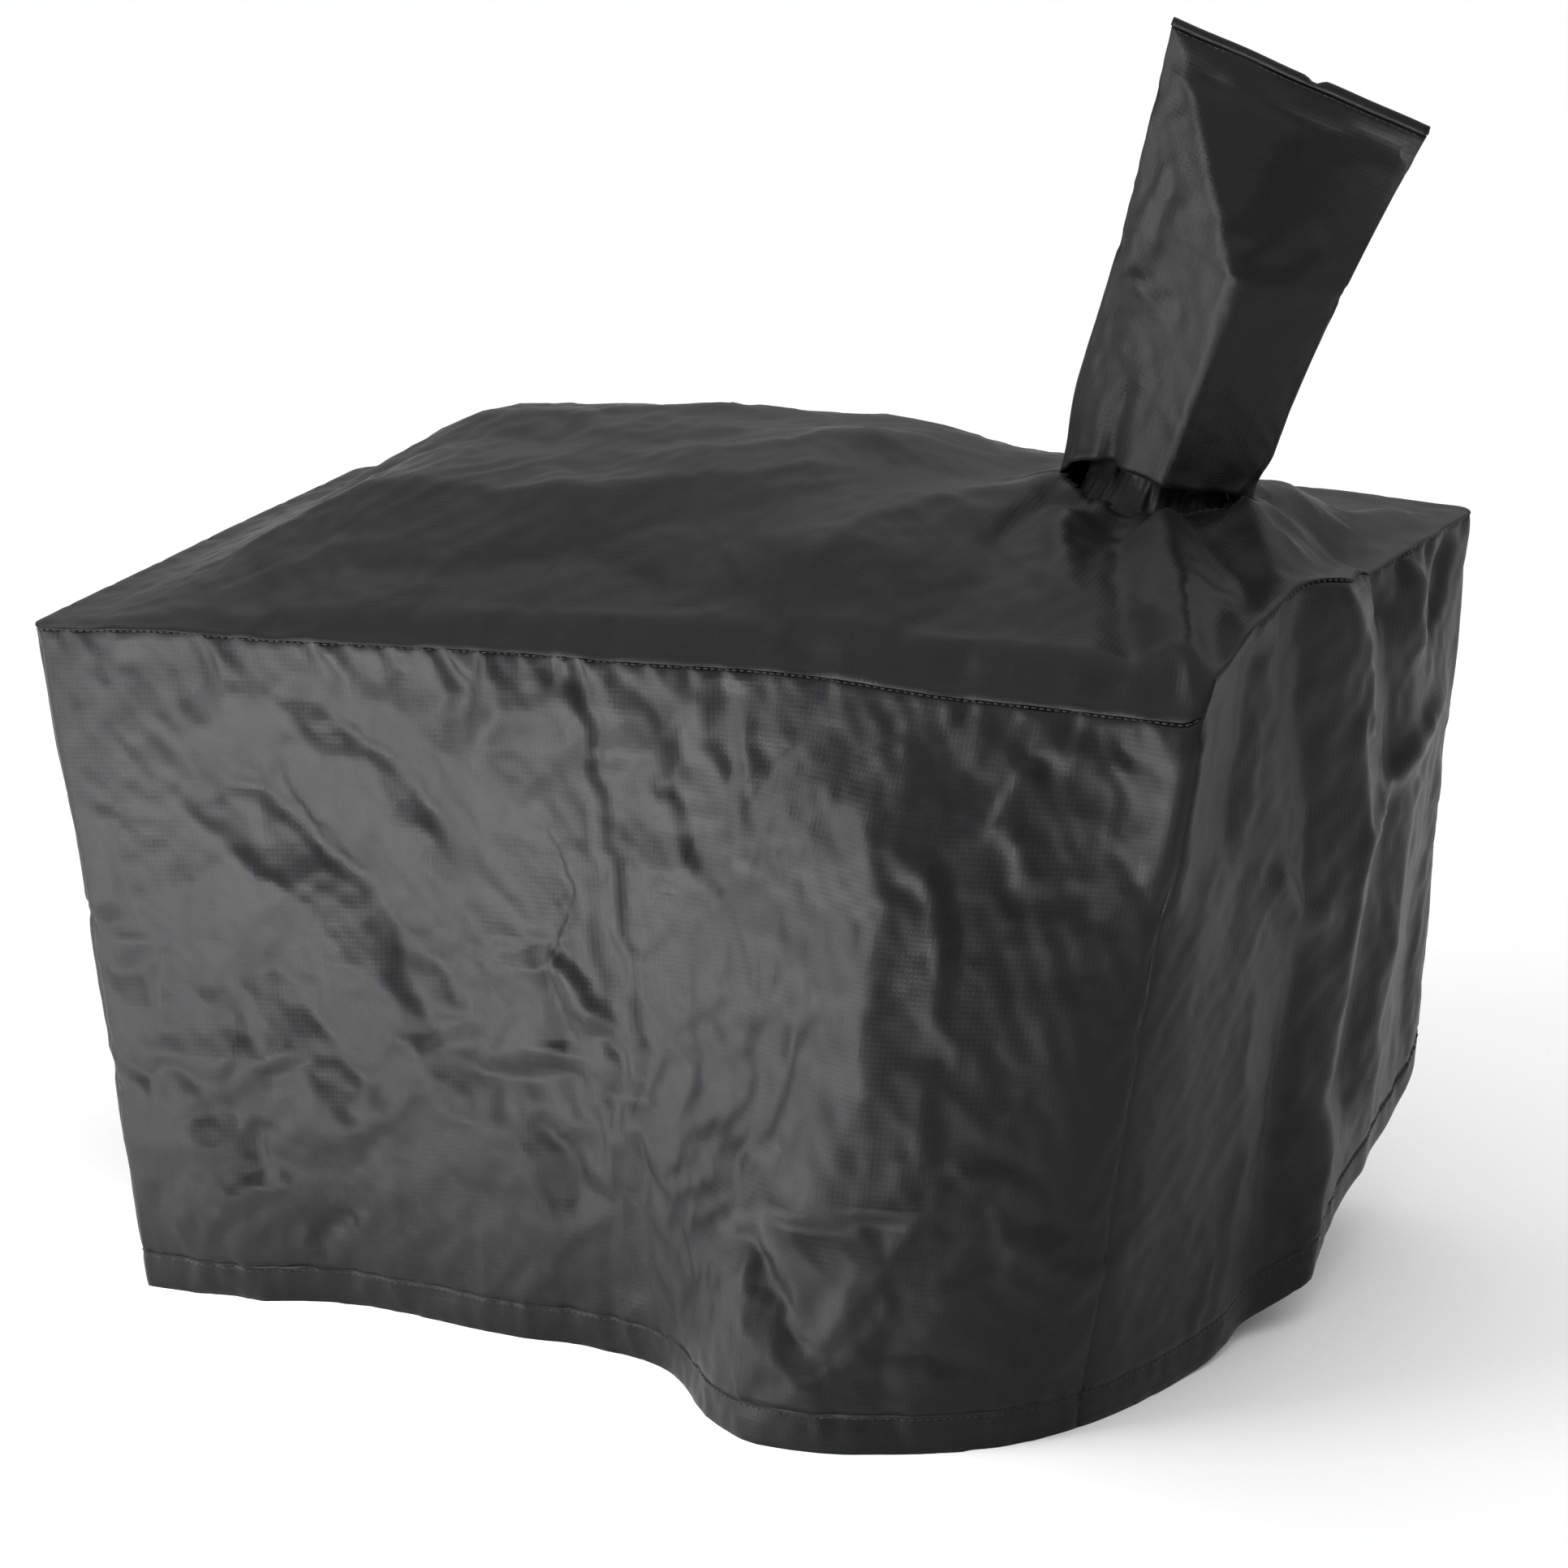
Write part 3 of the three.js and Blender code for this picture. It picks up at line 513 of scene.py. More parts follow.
sleeveFolds = [  # (across, along) on the front half; across is from -80 to 80 at any width
    fold([(30, 236), (22, 196), (14, 158)], -3.5, (5, 16), 1, fades=(0.1, 0.5)),
    fold([(-46, 196), (-52, 168), (-50, 140)], -2.5, (12, 8), 1.5),
    fold([(-66, 122), (-40, 116), (-12, 122)], 2.5, (6, 14), 1.5),
    fold([(-30, 70), (-38, 40), (-30, 12)], -4, (14, 7), 1.5, fades=(0.3, 0)),
    fold([(-22, 84), (-16, 66), (-20, 44)], 3, (6, 10), 1),
    fold([(38, 120), (42, 70), (30, 20)], -2, (18, 14), 3),
    fold([(60, 190), (44, 172), (30, 160)], -2.5, (10, 14), 2),
    fold([(-80, 251), (-20, 247), (20, 243), (80, 250)], -2.2, (5, 12), 1.5, fades=(0.05, 0.05)),
]
sleeveBackFolds = [
    fold([(0, 40), (6, 130), (-4, 220)], -4, (30, 36), 3),
    fold([(-50, 90), (-10, 120), (30, 110)], 3, (14, 20), 2),
]
sleeveRidge = {
    # place across, from -1 to 1, at each share of the length
    "across": [(0.36, 0.0), (0.38, 0.18), (0.38, 0.36), (0.35, 0.55), (0.33, 0.61), (0.12, 0.92),
               (0.04, 1.0)],
    "depth": 49,
    "tipDepth": 1.2,
    "frontSharp": 0.86,  # 1 is folded like paper, 0 is an oval tube
    "backSharp": 0.5,
    "leftSlope": 0.58,
    "turnOver": 0.61,  # share of the length where the ridge splits round the flat triangle
    "arch": 0.088,  # how far the front of the hem rises over the gathered neck
}
sleeveCells = {"round": 48, "along": 38}
sleeveSpan = 80  # folds on the sleeve are laid out over this half width


# The sleeve as rings from the top down: a ridge runs up its front and splits round a flat triangle.
# Given shares of the length, the rings stand there; without them the hem arches over the gathered neck.
def shapeSleeve(roundCells, alongCells, shares=None):
    angle = (math.pi + 2 * math.pi * np.arange(roundCells) / roundCells)[None]
    facing = np.maximum(-np.sin(angle), 0)
    if shares is None:
        arch = sleeveRidge["arch"] * facing ** 0.8
        share = 1 - (1 - arch) * (np.arange(alongCells + 1) / alongCells)[:, None]
    else:
        share = np.asarray(shares)[:, None] + 0 * angle
    tilt = smooth(share, -0.05, 0.3) * (sleeve["lean"] + (sleeve["tipTilt"] - sleeve["lean"]) * share)
    tilt = np.where(share <= 0, 0, tilt)
    travel = sleeve["length"] * share
    setBack = sleeve["setBack"] * sleeve["length"] * sleeve["lean"] * (1 - np.exp(-share * 6))
    centreX = sleeve["base"][0] + travel * math.sin(sleeve["lean"]) - setBack
    centreZ = sleeve["base"][2] + travel * math.cos(sleeve["lean"])
    shoulder, shoulderHalf = sleeve["shoulder"]
    high = np.clip((share - shoulder) / (1 - shoulder), 0, 1)
    low = sleeve["half"][0] + (shoulderHalf - sleeve["half"][0]) * smooth(share, 0, shoulder)
    wider = shoulderHalf + (sleeve["tipHalf"] - shoulderHalf) * high ** 1.7
    halfWidth = np.where(share < shoulder, low, wider)
    across = np.cos(angle) + 0 * share
    ridgeAcross, ridgeShares = zip(*sleeveRidge["across"])
    ridge = np.interp(share, ridgeShares, ridgeAcross)
    turnOver = sleeveRidge["turnOver"]
    deep = sleeveRidge["depth"] * np.clip((1 - share) / (1 - turnOver), 0, 1) + sleeveRidge["tipDepth"]
    lowLeft = deep * (1 + across) / (1 + ridge)
    leftFace = np.where(share < turnOver, lowLeft, sleeveRidge["leftSlope"] * halfWidth * (1 + across))
    rightFace = deep * (1 - across) / (1 - ridge)
    folded = np.minimum(np.minimum(leftFace, rightFace), deep)
    ellipse = np.maximum(sleeve["girth"] / math.pi - halfWidth, 2)
    ellipse = sleeve["half"][1] + (ellipse - sleeve["half"][1]) * smooth(share, 0, 0.25)
    ellipse = (ellipse * (1 - smooth(share, 0.5, 1)) + sleeveRidge["tipDepth"]) * np.abs(np.sin(angle))
    sharp = np.where(np.sin(angle) < 0, sleeveRidge["frontSharp"], sleeveRidge["backSharp"])
    sharp = np.maximum(sharp * smooth(share, -0.02, 0.1), smooth(share, 0.85, 1))
    depth = (ellipse + (folded - ellipse) * sharp) * np.sign(np.sin(angle))
    front = foldLift(across * sleeveSpan, travel, sleeveFolds)
    back = foldLift(-across * sleeveSpan, travel, sleeveBackFolds)
    room = smooth(1 - share, 0.0, 0.06) * smooth(np.abs(np.sin(angle)), 0, 0.4) * (share > 0.02)
    depth = depth - np.where(np.sin(angle) < 0, front, -back) * room
    wide = across * halfWidth
    return np.stack([
        centreX + wide * np.cos(tilt),
        sleeve["base"][1] + depth,
        centreZ - wide * np.sin(tilt),
    ], 2)


# Cloth simulation: the shaped cover, a little too large for its shape, settles into wrinkles

simulation = {
    "frames": 14,
    "spare": 0.0055,  # how much wider and longer the cloth is than its shape
    "spareShares": {"front": 1.0, "right": 0.3, "back": 0.9, "left": 0.9, "top": 0.4, "sleeve": 0.3},
    "bending": 0.06,
    "quality": 5,
    "mass": 0.0002,
    "stretch": 25,
    "shear": 6,
    "airDamping": 3,
    "pin": 0.6,
    "hold": {"skirt": 0.1, "top": 0.22, "sleeve": 0.15},  # how firmly it keeps its shape, 1 at the seams
}


def settle(points, faces, hold, spare):  # hold pins each point, spare is its share of the growth
    mesh = bpy.data.meshes.new("settling")
    mesh.from_pydata((points / 1000).tolist(), [], faces)
    piece = bpy.data.objects.new("settling", mesh)
    scene.collection.objects.link(piece)
    for name, weights in (("hold", hold), ("taut", 1 - spare)):
        group = piece.vertex_groups.new(name=name)
        for step in range(1, 101):
            pick = np.nonzero(np.round(weights * 100).astype(int) == step)[0]
            if len(pick):
                group.add(pick.tolist(), step / 100, "REPLACE")
    modifier = piece.modifiers.new("cloth", "CLOTH")
    cloth = modifier.settings
    cloth.quality = simulation["quality"]
    cloth.mass = simulation["mass"]
    cloth.tension_stiffness = simulation["stretch"]
    cloth.compression_stiffness = simulation["stretch"]
    cloth.shear_stiffness = simulation["shear"]
    cloth.bending_stiffness = simulation["bending"]
    cloth.air_damping = simulation["airDamping"]
    cloth.vertex_group_shrink = "taut"
    cloth.shrink_min = -simulation["spare"]
    cloth.shrink_max = 0
    cloth.vertex_group_mass = "hold"
    cloth.pin_stiffness = simulation["pin"]
    modifier.collision_settings.use_collision = False
    modifier.collision_settings.use_self_collision = False
    modifier.point_cache.frame_start = 1
    modifier.point_cache.frame_end = simulation["frames"]
    for step in range(1, simulation["frames"] + 1):
        scene.frame_set(step)
    settled = piece.evaluated_get(bpy.context.evaluated_depsgraph_get()).to_mesh()
    result = np.empty(len(points) * 3)
    settled.vertices.foreach_get("co", result)
    bpy.data.objects.remove(piece)
    scene.frame_set(1)
    return result.reshape(-1, 3) * 1000


def gridFaces(index):
    a, b, c, d = index[:-1, :-1], index[1:, :-1], index[1:, 1:], index[:-1, 1:]
    return np.stack([a, b, c, d], 2).reshape(-1, 4)


def closeRing(index):  # repeats the first column after the last
    return np.concatenate([index, index[:, :1]], 1)


def settleCover(skirt, top, sleeveGrid):
    rows, count = skirt.shape[:2]
    skirtIndex = np.arange(rows * count).reshape(rows, count)
    ring = skirtIndex[0]
    across, deep = sideCells[0], sideCells[1]
    topIndex = np.full(top.shape[:2], -1)
    topIndex[0] = ring[:across + 1]
    topIndex[:, -1] = ring[across:across + deep + 1]
    topIndex[-1] = ring[across + deep:2 * across + deep + 1][::-1]
    topIndex[:, 0] = np.concatenate([ring[2 * across + deep:], ring[:1]])[::-1]
    inner = topIndex < 0
    topIndex[inner] = rows * count + np.arange(inner.sum())
    sleeveIndex = np.arange(sleeveGrid[..., 0].size).reshape(sleeveGrid.shape[:2])
    sleeveIndex = sleeveIndex + rows * count + inner.sum()
    points = np.concatenate([skirt.reshape(-1, 3), top[inner], sleeveGrid.reshape(-1, 3)])

    least = simulation["hold"]
    hold = np.zeros(len(points))
    down = np.arange(rows) / (rows - 1)
    atEdges = np.maximum(1 - smooth(down, 0, 0.02), smooth(down, 0.97, 1))
    hold[skirtIndex] = (least["skirt"] + (1 - least["skirt"]) * atEdges)[:, None]
    x, y = top[inner][:, 0], top[inner][:, 1]
    fromSleeve = np.hypot((x - sleeve["base"][0]) / (sleeve["half"][0] + 9), y / (sleeve["half"][1] + 9))
    hold[topIndex[inner]] = least["top"] + (1 - least["top"]) * (1 - smooth(fromSleeve, 0.9, 1.2))
    share = 1 - np.arange(sleeveGrid.shape[0]) / (sleeveGrid.shape[0] - 1)
    atEnds = np.maximum(smooth(share, 0.9, 1), 1 - smooth(share, 0, 0.12))
    hold[sleeveIndex] = atEnds[:, None] * (1 - least["sleeve"]) + least["sleeve"]

    spareShares = simulation["spareShares"]
    spare = np.full(len(points), spareShares["sleeve"])
    sideOfColumn = np.floor(columnPlaces(count)).astype(int)
    spare[skirtIndex] = np.array([spareShares[name] for name in sideNames])[sideOfColumn][None]
    spare[topIndex[inner]] = spareShares["top"]
    faces = np.concatenate([
        gridFaces(closeRing(skirtIndex)), gridFaces(topIndex)[:, ::-1], gridFaces(closeRing(sleeveIndex))])
    settled = settle(points, faces.tolist(), hold, spare)
    moved = np.linalg.norm(settled - points, axis=1)
    print("settled: mean move %.2f mm, most %.1f mm" % (moved.mean(), moved.max()))
    settled[:, 2] = np.maximum(settled[:, 2], 0)
    return settled[skirtIndex], settled[topIndex], settled[sleeveIndex]


# Finer grids: cubic steps between the settled points, then crumples

def finer(grid, axis, closed):
    grid = np.moveaxis(grid, axis, 0)
    if closed:
        a, b, c, d = (np.roll(grid, k, 0) for k in (1, 0, -1, -2))
        middle = (-a + 9 * b + 9 * c - d) / 16
        result = np.empty((2 * len(grid),) + grid.shape[1:])
        result[0::2], result[1::2] = grid, middle
    else:
        padded = np.concatenate([2 * grid[:1] - grid[1:2], grid, 2 * grid[-1:] - grid[-2:-1]])
        middle = (-padded[:-3] + 9 * padded[1:-2] + 9 * padded[2:-1] - padded[3:]) / 16
        result = np.empty((2 * len(grid) - 1,) + grid.shape[1:])
        result[0::2], result[1::2] = grid, middle
    return np.moveaxis(result, 0, axis)


def gridNormals(grid, closed):
    if closed:
        acrossStep = np.roll(grid, -1, 1) - np.roll(grid, 1, 1)
    else:
        acrossStep = np.gradient(grid, axis=1)
    downStep = np.gradient(grid, axis=0)
    normal = np.cross(downStep, acrossStep)
    return normal / np.maximum(np.linalg.norm(normal, axis=2, keepdims=True), 1e-9)


crumple = {
    "skirt": [(88, 0.12, 11), (42, 0.13, 12), (19, 0.08, 13)],  # facet size in mm, slope, seed
    "top": [(96, 0.06, 21), (42, 0.06, 22), (18, 0.04, 23)],
    "sleeve": [(52, 0.08, 31), (27, 0.09, 32), (13, 0.06, 33)],
}
darts = {  # pinches where the seam gathers the panel: side, place along it, depth, length, lean
    "front": [(-352, 3, 26, 8), (-320, 2, 18, -4), (-262, 4, 40, 16), (-236, 2, 16, 4),
              (-185, 4, 30, 8), (-160, 2.5, 16, -4), (-135, 4, 28, 10), (-112, 3, 22, -8),
              (-100, 4.5, 34, 12), (-75, 5, 30, -6),
              (-50, 3, 20, 6), (-24, 5, 34, -10), (-12, 5, 42, 8), (12, 2.5, 18, 4), (34, 2.5, 24, -8),
              (58, 2.2, 18, 6), (82, 3, 30, 4), (118, 2, 18, 8), (150, 2.5, 24, -6), (196, 2, 22, 6),
              (236, 2.5, 26, -6), (262, 2, 18, 4), (300, 2.5, 24, -8), (336, 2, 20, 6)],
    "right": [(-150, 2.5, 26, 6), (-120, 3, 22, -6), (-84, 3, 30, 6), (16, 3, 30, 10), (40, 3.5, 34, 14),
              (78, 4, 36, -8), (98, 3.5, 26, 8), (124, 4, 34, -6), (150, 3, 26, 8), (176, 3, 20, -4)],
    "back": [(-320, 3, 26, 6), (-270, 3, 30, -6), (-214, 4, 34, 8), (-160, 3, 24, 6), (-120, 4, 36, -8),
             (-64, 3, 24, 6), (-20, 4, 30, 8), (40, 3, 26, -6), (96, 4, 36, 6), (150, 3, 24, -6),
             (210, 4, 30, 8), (280, 3, 26, 6)],
    "left": [(-150, 3, 26, 6), (-100, 4, 34, -8), (-52, 3, 22, 6), (-10, 4, 30, 8), (46, 3, 26, -6),
             (100, 4, 34, 6), (150, 3, 24, -6)],
}
# Where the skirt hangs smoother: strength, place round the seam, width, drop below it, height
calmPlaces = [(0.5, 55, 60, 100, 110), (0.4, seamLengths[0] + 20, 110, 260, 120)]
calmEnd = 0.65  # share of the creases left on the right end
skirtCreases = {"seed": 91, "count": 420, "length": 62, "lift": 1.5}
topCreases = {"seed": 95, "count": 70, "length": 150, "lift": 1.1}


def crumpled(x, y, layers):
    total = np.zeros_like(x)
    for size, slope, seed in layers:
        amount = smooth(drift(x, y, size * 5, seed + 50), -0.7, 0.7)
        bentX = x + 0.2 * size * drift(x, y, size * 1.7, seed + 60)
        bentY = y + 0.2 * size * drift(x, y, size * 1.9, seed + 70)
        total += facets(bentX, bentY * 0.75, size, slope, seed) * amount
    return total


def scattered(x, y, creases):  # short sharp creases strewn over the cloth, most of them upright
    draws = np.random.default_rng(creases["seed"]).uniform(0, 1, (creases["count"], 7))
    low, high = np.array([x.min(), y.min()]), np.array([x.max(), y.max()])
    total = np.zeros_like(x)
    for draw in draws:
        middle = low + (high - low) * draw[:2]
        turn = math.pi / 2 + (draw[2] - 0.5) * 1.8
        half = creases["length"] * (0.25 + 0.75 * draw[3]) / 2
        reach = half + 14
        pick = (np.abs(x - middle[0]) < reach) & (np.abs(y - middle[1]) < reach)
        if not pick.any():
            continue
        px, py = x[pick] - middle[0], y[pick] - middle[1]
        along = px * math.cos(turn) + py * math.sin(turn)
        across = py * math.cos(turn) - px * math.sin(turn) + 0.05 * along ** 2 / half * (draw[4] - 0.5)
        width = np.where(across * (draw[5] - 0.5) > 0, 3.6, 11.0)
        profile = np.clip(1 - np.abs(across) / width, 0, 1) * np.clip(1 - (along / half) ** 2, 0, 1)
        total[pick] += creases["lift"] * (2 * draw[6] - 0.8) * profile
    return total


def pinches(run, drop):  # a groove for each dart, with a low lip beside it
    total = np.zeros_like(run)
    for side, name in enumerate(sideNames):
        for place, depth, length, lean in darts[name]:
            centre = sum(seamLengths[:side]) + seamLengths[side] / 2 + place + lean * drop / length
            away = run - centre
            width = 4 + 0.25 * drop
            groove = np.clip(1 - np.abs(away) / width, 0, 1)
            lip = np.clip(1 - np.abs(away - 1.7 * width) / width, 0, 1)
            total -= depth * (groove - 0.45 * lip) * np.clip(1 - drop / length, 0, 1) ** 1.2
    return total


def refineSkirt(skirt):
    fine = finer(finer(skirt, 1, True), 0, False)
    rows, count = fine.shape[:2]
    place = columnPlaces(count)
    run = ringDistance(count)[None] + np.zeros((rows, 1))
    drop = (np.arange(rows) / (rows - 1))[:, None] * (fine[0, :, 2] - fine[-1, :, 2])[None]
    lift = crumpled(run, drop, crumple["skirt"])
    lift += scattered(run, drop, skirtCreases)
    corner = seamLengths[0]
    calm = np.ones_like(lift)
    for strength, at, width, down, height in calmPlaces:
        calm -= strength * np.exp(-((run - at) / width) ** 2 - ((drop - down) / height) ** 2)
    lift *= calm * np.where((run > corner) & (run < corner + seamLengths[1]), calmEnd, 1)
    rise = fine[..., 2] - fine[-1:, :, 2]
    lift += 0.6 * wave(run, (13, 17, 26), 43) * np.exp(-((rise - 18) / 9) ** 2)
    lift *= smooth(drop, 0, 22) * (0.25 + 0.75 * cornerFade(place, 16)[None])
    lift += pinches(run, drop) * smooth(drop, 0, 5)
    stitchRise = cover["hemHeight"] - 1.5
    lift -= 0.9 * np.exp(-((rise - stitchRise) / 2.2) ** 2)  # the stitch row pulls the hem in
    lift -= 0.5 * (1 - cornerFade(place, 6))[None] * smooth(drop, 4, 20)
    fine = fine + gridNormals(fine, True) * lift[..., None]
    fine[..., 2] = np.maximum(fine[..., 2], 0)
    return fine, np.stack([run, drop], 2) / 1000


def refineTop(top):
    fine = finer(finer(top, 1, False), 0, False)
    x, y = fine[..., 0].copy(), fine[..., 1].copy()
    edgeGap = np.minimum(cover["length"] / 2 - np.abs(x), cover["width"] / 2 - np.abs(y))
    lift = crumpled(x, y, crumple["top"]) * smooth(edgeGap, 0, 20)
    lift += scattered(y, x, topCreases) * smooth(edgeGap, 0, 20)
    angle = np.arctan2(y - sleeve["base"][1], x - sleeve["base"][0])
    away = np.hypot((x - sleeve["base"][0]) / sleeve["half"][0], y / sleeve["half"][1]) - 1
    pleats = wave(angle * 60, (29, 37, 53, 83), 44)
    lift += 4.2 * pleats * np.exp(-np.maximum(away, 0) / 0.55) * smooth(edgeGap, 0, 20)
    alongSeam = np.where(cover["width"] / 2 - np.abs(y) < cover["length"] / 2 - np.abs(x), x, y)
    lift += 1.3 * wave(alongSeam, (31, 43, 71), 45) * np.exp(-edgeGap / 16) * smooth(edgeGap, 0, 5)
    normal = -gridNormals(fine, False)
    return fine + normal * lift[..., None], np.stack([x, y], 2) / 1000, away


def refineSleeve(grid):
    fine = finer(finer(grid, 1, True), 0, False)
    rows, count = fine.shape[:2]
    run = np.arange(count) / count * sleeve["girth"] + np.zeros((rows, 1))
    drop = np.arange(rows)[:, None] / (rows - 1) * sleeve["length"] + np.zeros((1, count))
    lift = crumpled(run, drop, crumple["sleeve"])
    lift += 1.2 * wave(run, (13, 19, 31), 46) * np.exp(-drop / 9)
    lift += 3.2 * wave(run, (21, 31, 44), 47) * np.exp(-(sleeve["length"] - drop) / 16)
    seamGap = np.abs(((run / sleeve["girth"] * 2 + 0.5) % 1) - 0.5) * sleeve["girth"] / 2
    lift *= smooth(drop, 1, 20) * (0.2 + 0.8 * smooth(seamGap, 0, 12))
    fine = fine + gridNormals(fine, True) * lift[..., None]
    return fine, np.stack([run, drop], 2) / 1000


# Meshes

root = "root"


def addMesh(name, points, faces, material, node, uvs=None):
    mesh = bpy.data.meshes.new(name)
    mesh.from_pydata(((points + shiftMm) / 1000).tolist(), [], faces)
    if uvs is not None:
        layer = mesh.uv_layers.new(name="cut")
        loops = np.empty(len(mesh.loops), int)
        mesh.loops.foreach_get("vertex_index", loops)
        layer.data.foreach_set("uv", uvs[loops].ravel())
    mesh.polygons.foreach_set("use_smooth", [True] * len(mesh.polygons))
    mesh.materials.append(material)
    mesh.update()
    piece = bpy.data.objects.new(name, mesh)
    scene.collection.objects.link(piece)
    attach(piece, root)
    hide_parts(node)
    return piece


def addCloth(name, grid, uv, material, node, thickness, closed=False, flip=False, drop=None):
    index = np.arange(grid[..., 0].size).reshape(grid.shape[:2])
    if closed:
        index = closeRing(index)
    faces = gridFaces(index)
    if flip:
        faces = faces[:, ::-1]
    if drop is not None:
        faces = faces[~drop.ravel()[faces].all(axis=1)]
    used = np.unique(faces)
    renumber = np.full(index.max() + 1, -1)
    renumber[used] = np.arange(len(used))
    points, uvs = grid.reshape(-1, 3)[used], uv.reshape(-1, 2)[used]
    piece = addMesh(name, points, renumber[faces].tolist(), material, node, uvs)
    thick = piece.modifiers.new("thickness", "SOLIDIFY")
    thick.thickness = thickness / 1000
    thick.offset = -1
    return piece


stitch = {
    "length": 3.4,
    "pitch": 4.6,
    "radius": 0.42,
    "sides": 6,
    # rings of points along one stitch: share of its length, size and lift in radii
    "rings": [(-0.5, 0.35, -0.5), (-0.32, 0.9, 0.25), (0, 1, 0.45), (0.32, 0.9, 0.25), (0.5, 0.35, -0.5)],
}


def addStitches(name, path, outward, material, node):
    steps = np.linalg.norm(np.diff(path, axis=0), axis=1)
    run = np.concatenate([[0], np.cumsum(steps)])
    at = np.arange(stitch["pitch"] / 2, run[-1] - stitch["pitch"] / 2, stitch["pitch"])

    def along(distance, values):
        return np.stack([np.interp(distance, run, values[:, k]) for k in range(3)], 1)

    middle, ahead = along(at, path), along(at + 0.5, path) - along(at - 0.5, path)
    ahead /= np.linalg.norm(ahead, axis=1, keepdims=True)
    out = along(at, outward)
    out -= ahead * (out * ahead).sum(1, keepdims=True)
    out /= np.linalg.norm(out, axis=1, keepdims=True)
    sideways = np.cross(ahead, out)
    length, radius, sides, rings = stitch["length"], stitch["radius"], stitch["sides"], len(stitch["rings"])
    points = []
    for share, size, rise in stitch["rings"]:
        for k in range(sides):
            turn = 2 * math.pi * k / sides
            points.append(middle + ahead * share * length + out * radius * (rise + size * math.sin(turn))
                          + sideways * radius * size * math.cos(turn))
    points = np.stack(points, 1)
    one = []
    for r in range(rings - 1):
        for k in range(sides):
            low, high, onward = r * sides, (r + 1) * sides, (k + 1) % sides
            one.append([low + k, low + onward, high + onward, high + k])
    one += [list(range(sides))[::-1], [(rings - 1) * sides + k for k in range(sides)]]
    faces = [[i * rings * sides + v for v in face] for i in range(len(points)) for face in one]
    piece = addMesh(name, points.reshape(-1, 3), faces, material, node)
    return piece


# Materials

def linear(code):  # sRGB hex to linear colour
    parts = [int(code[i:i + 2], 16) / 255 for i in (1, 3, 5)]
    return [p / 12.92 if p <= 0.04045 else ((p + 0.055) / 1.055) ** 2.4 for p in parts] + [1]


def addNode(tree, kind, settings=None, values=None, links=None):
    node = tree.nodes.new(kind)
    for key, value in (settings or {}).items():
        setattr(node, key, value)
    for key, value in (values or {}).items():
        node.inputs[key].default_value = value
    for key, source in (links or {}).items():
        tree.links.new(source, node.inputs[key])
    return node


# Coated polyester: plain-woven filament yarn with a polyurethane film, calendered. The eye gets a
# near-black cloth with a broad soft gloss, a faint grid of threads and fine pressed creases.
coatedCloth = {
    "dark": "#0f0f10",
    "light": "#18181a",
    "roughness": 0.42,
    "threadMm": 1.5,  # real threads lie 0.35 mm apart; drawn coarser so that they show
    "creases": [(8, 4.0, 26), (-24, 3.0, 34), (52, 3.0, 44)],  # turn in degrees, stretch, size in mm
}


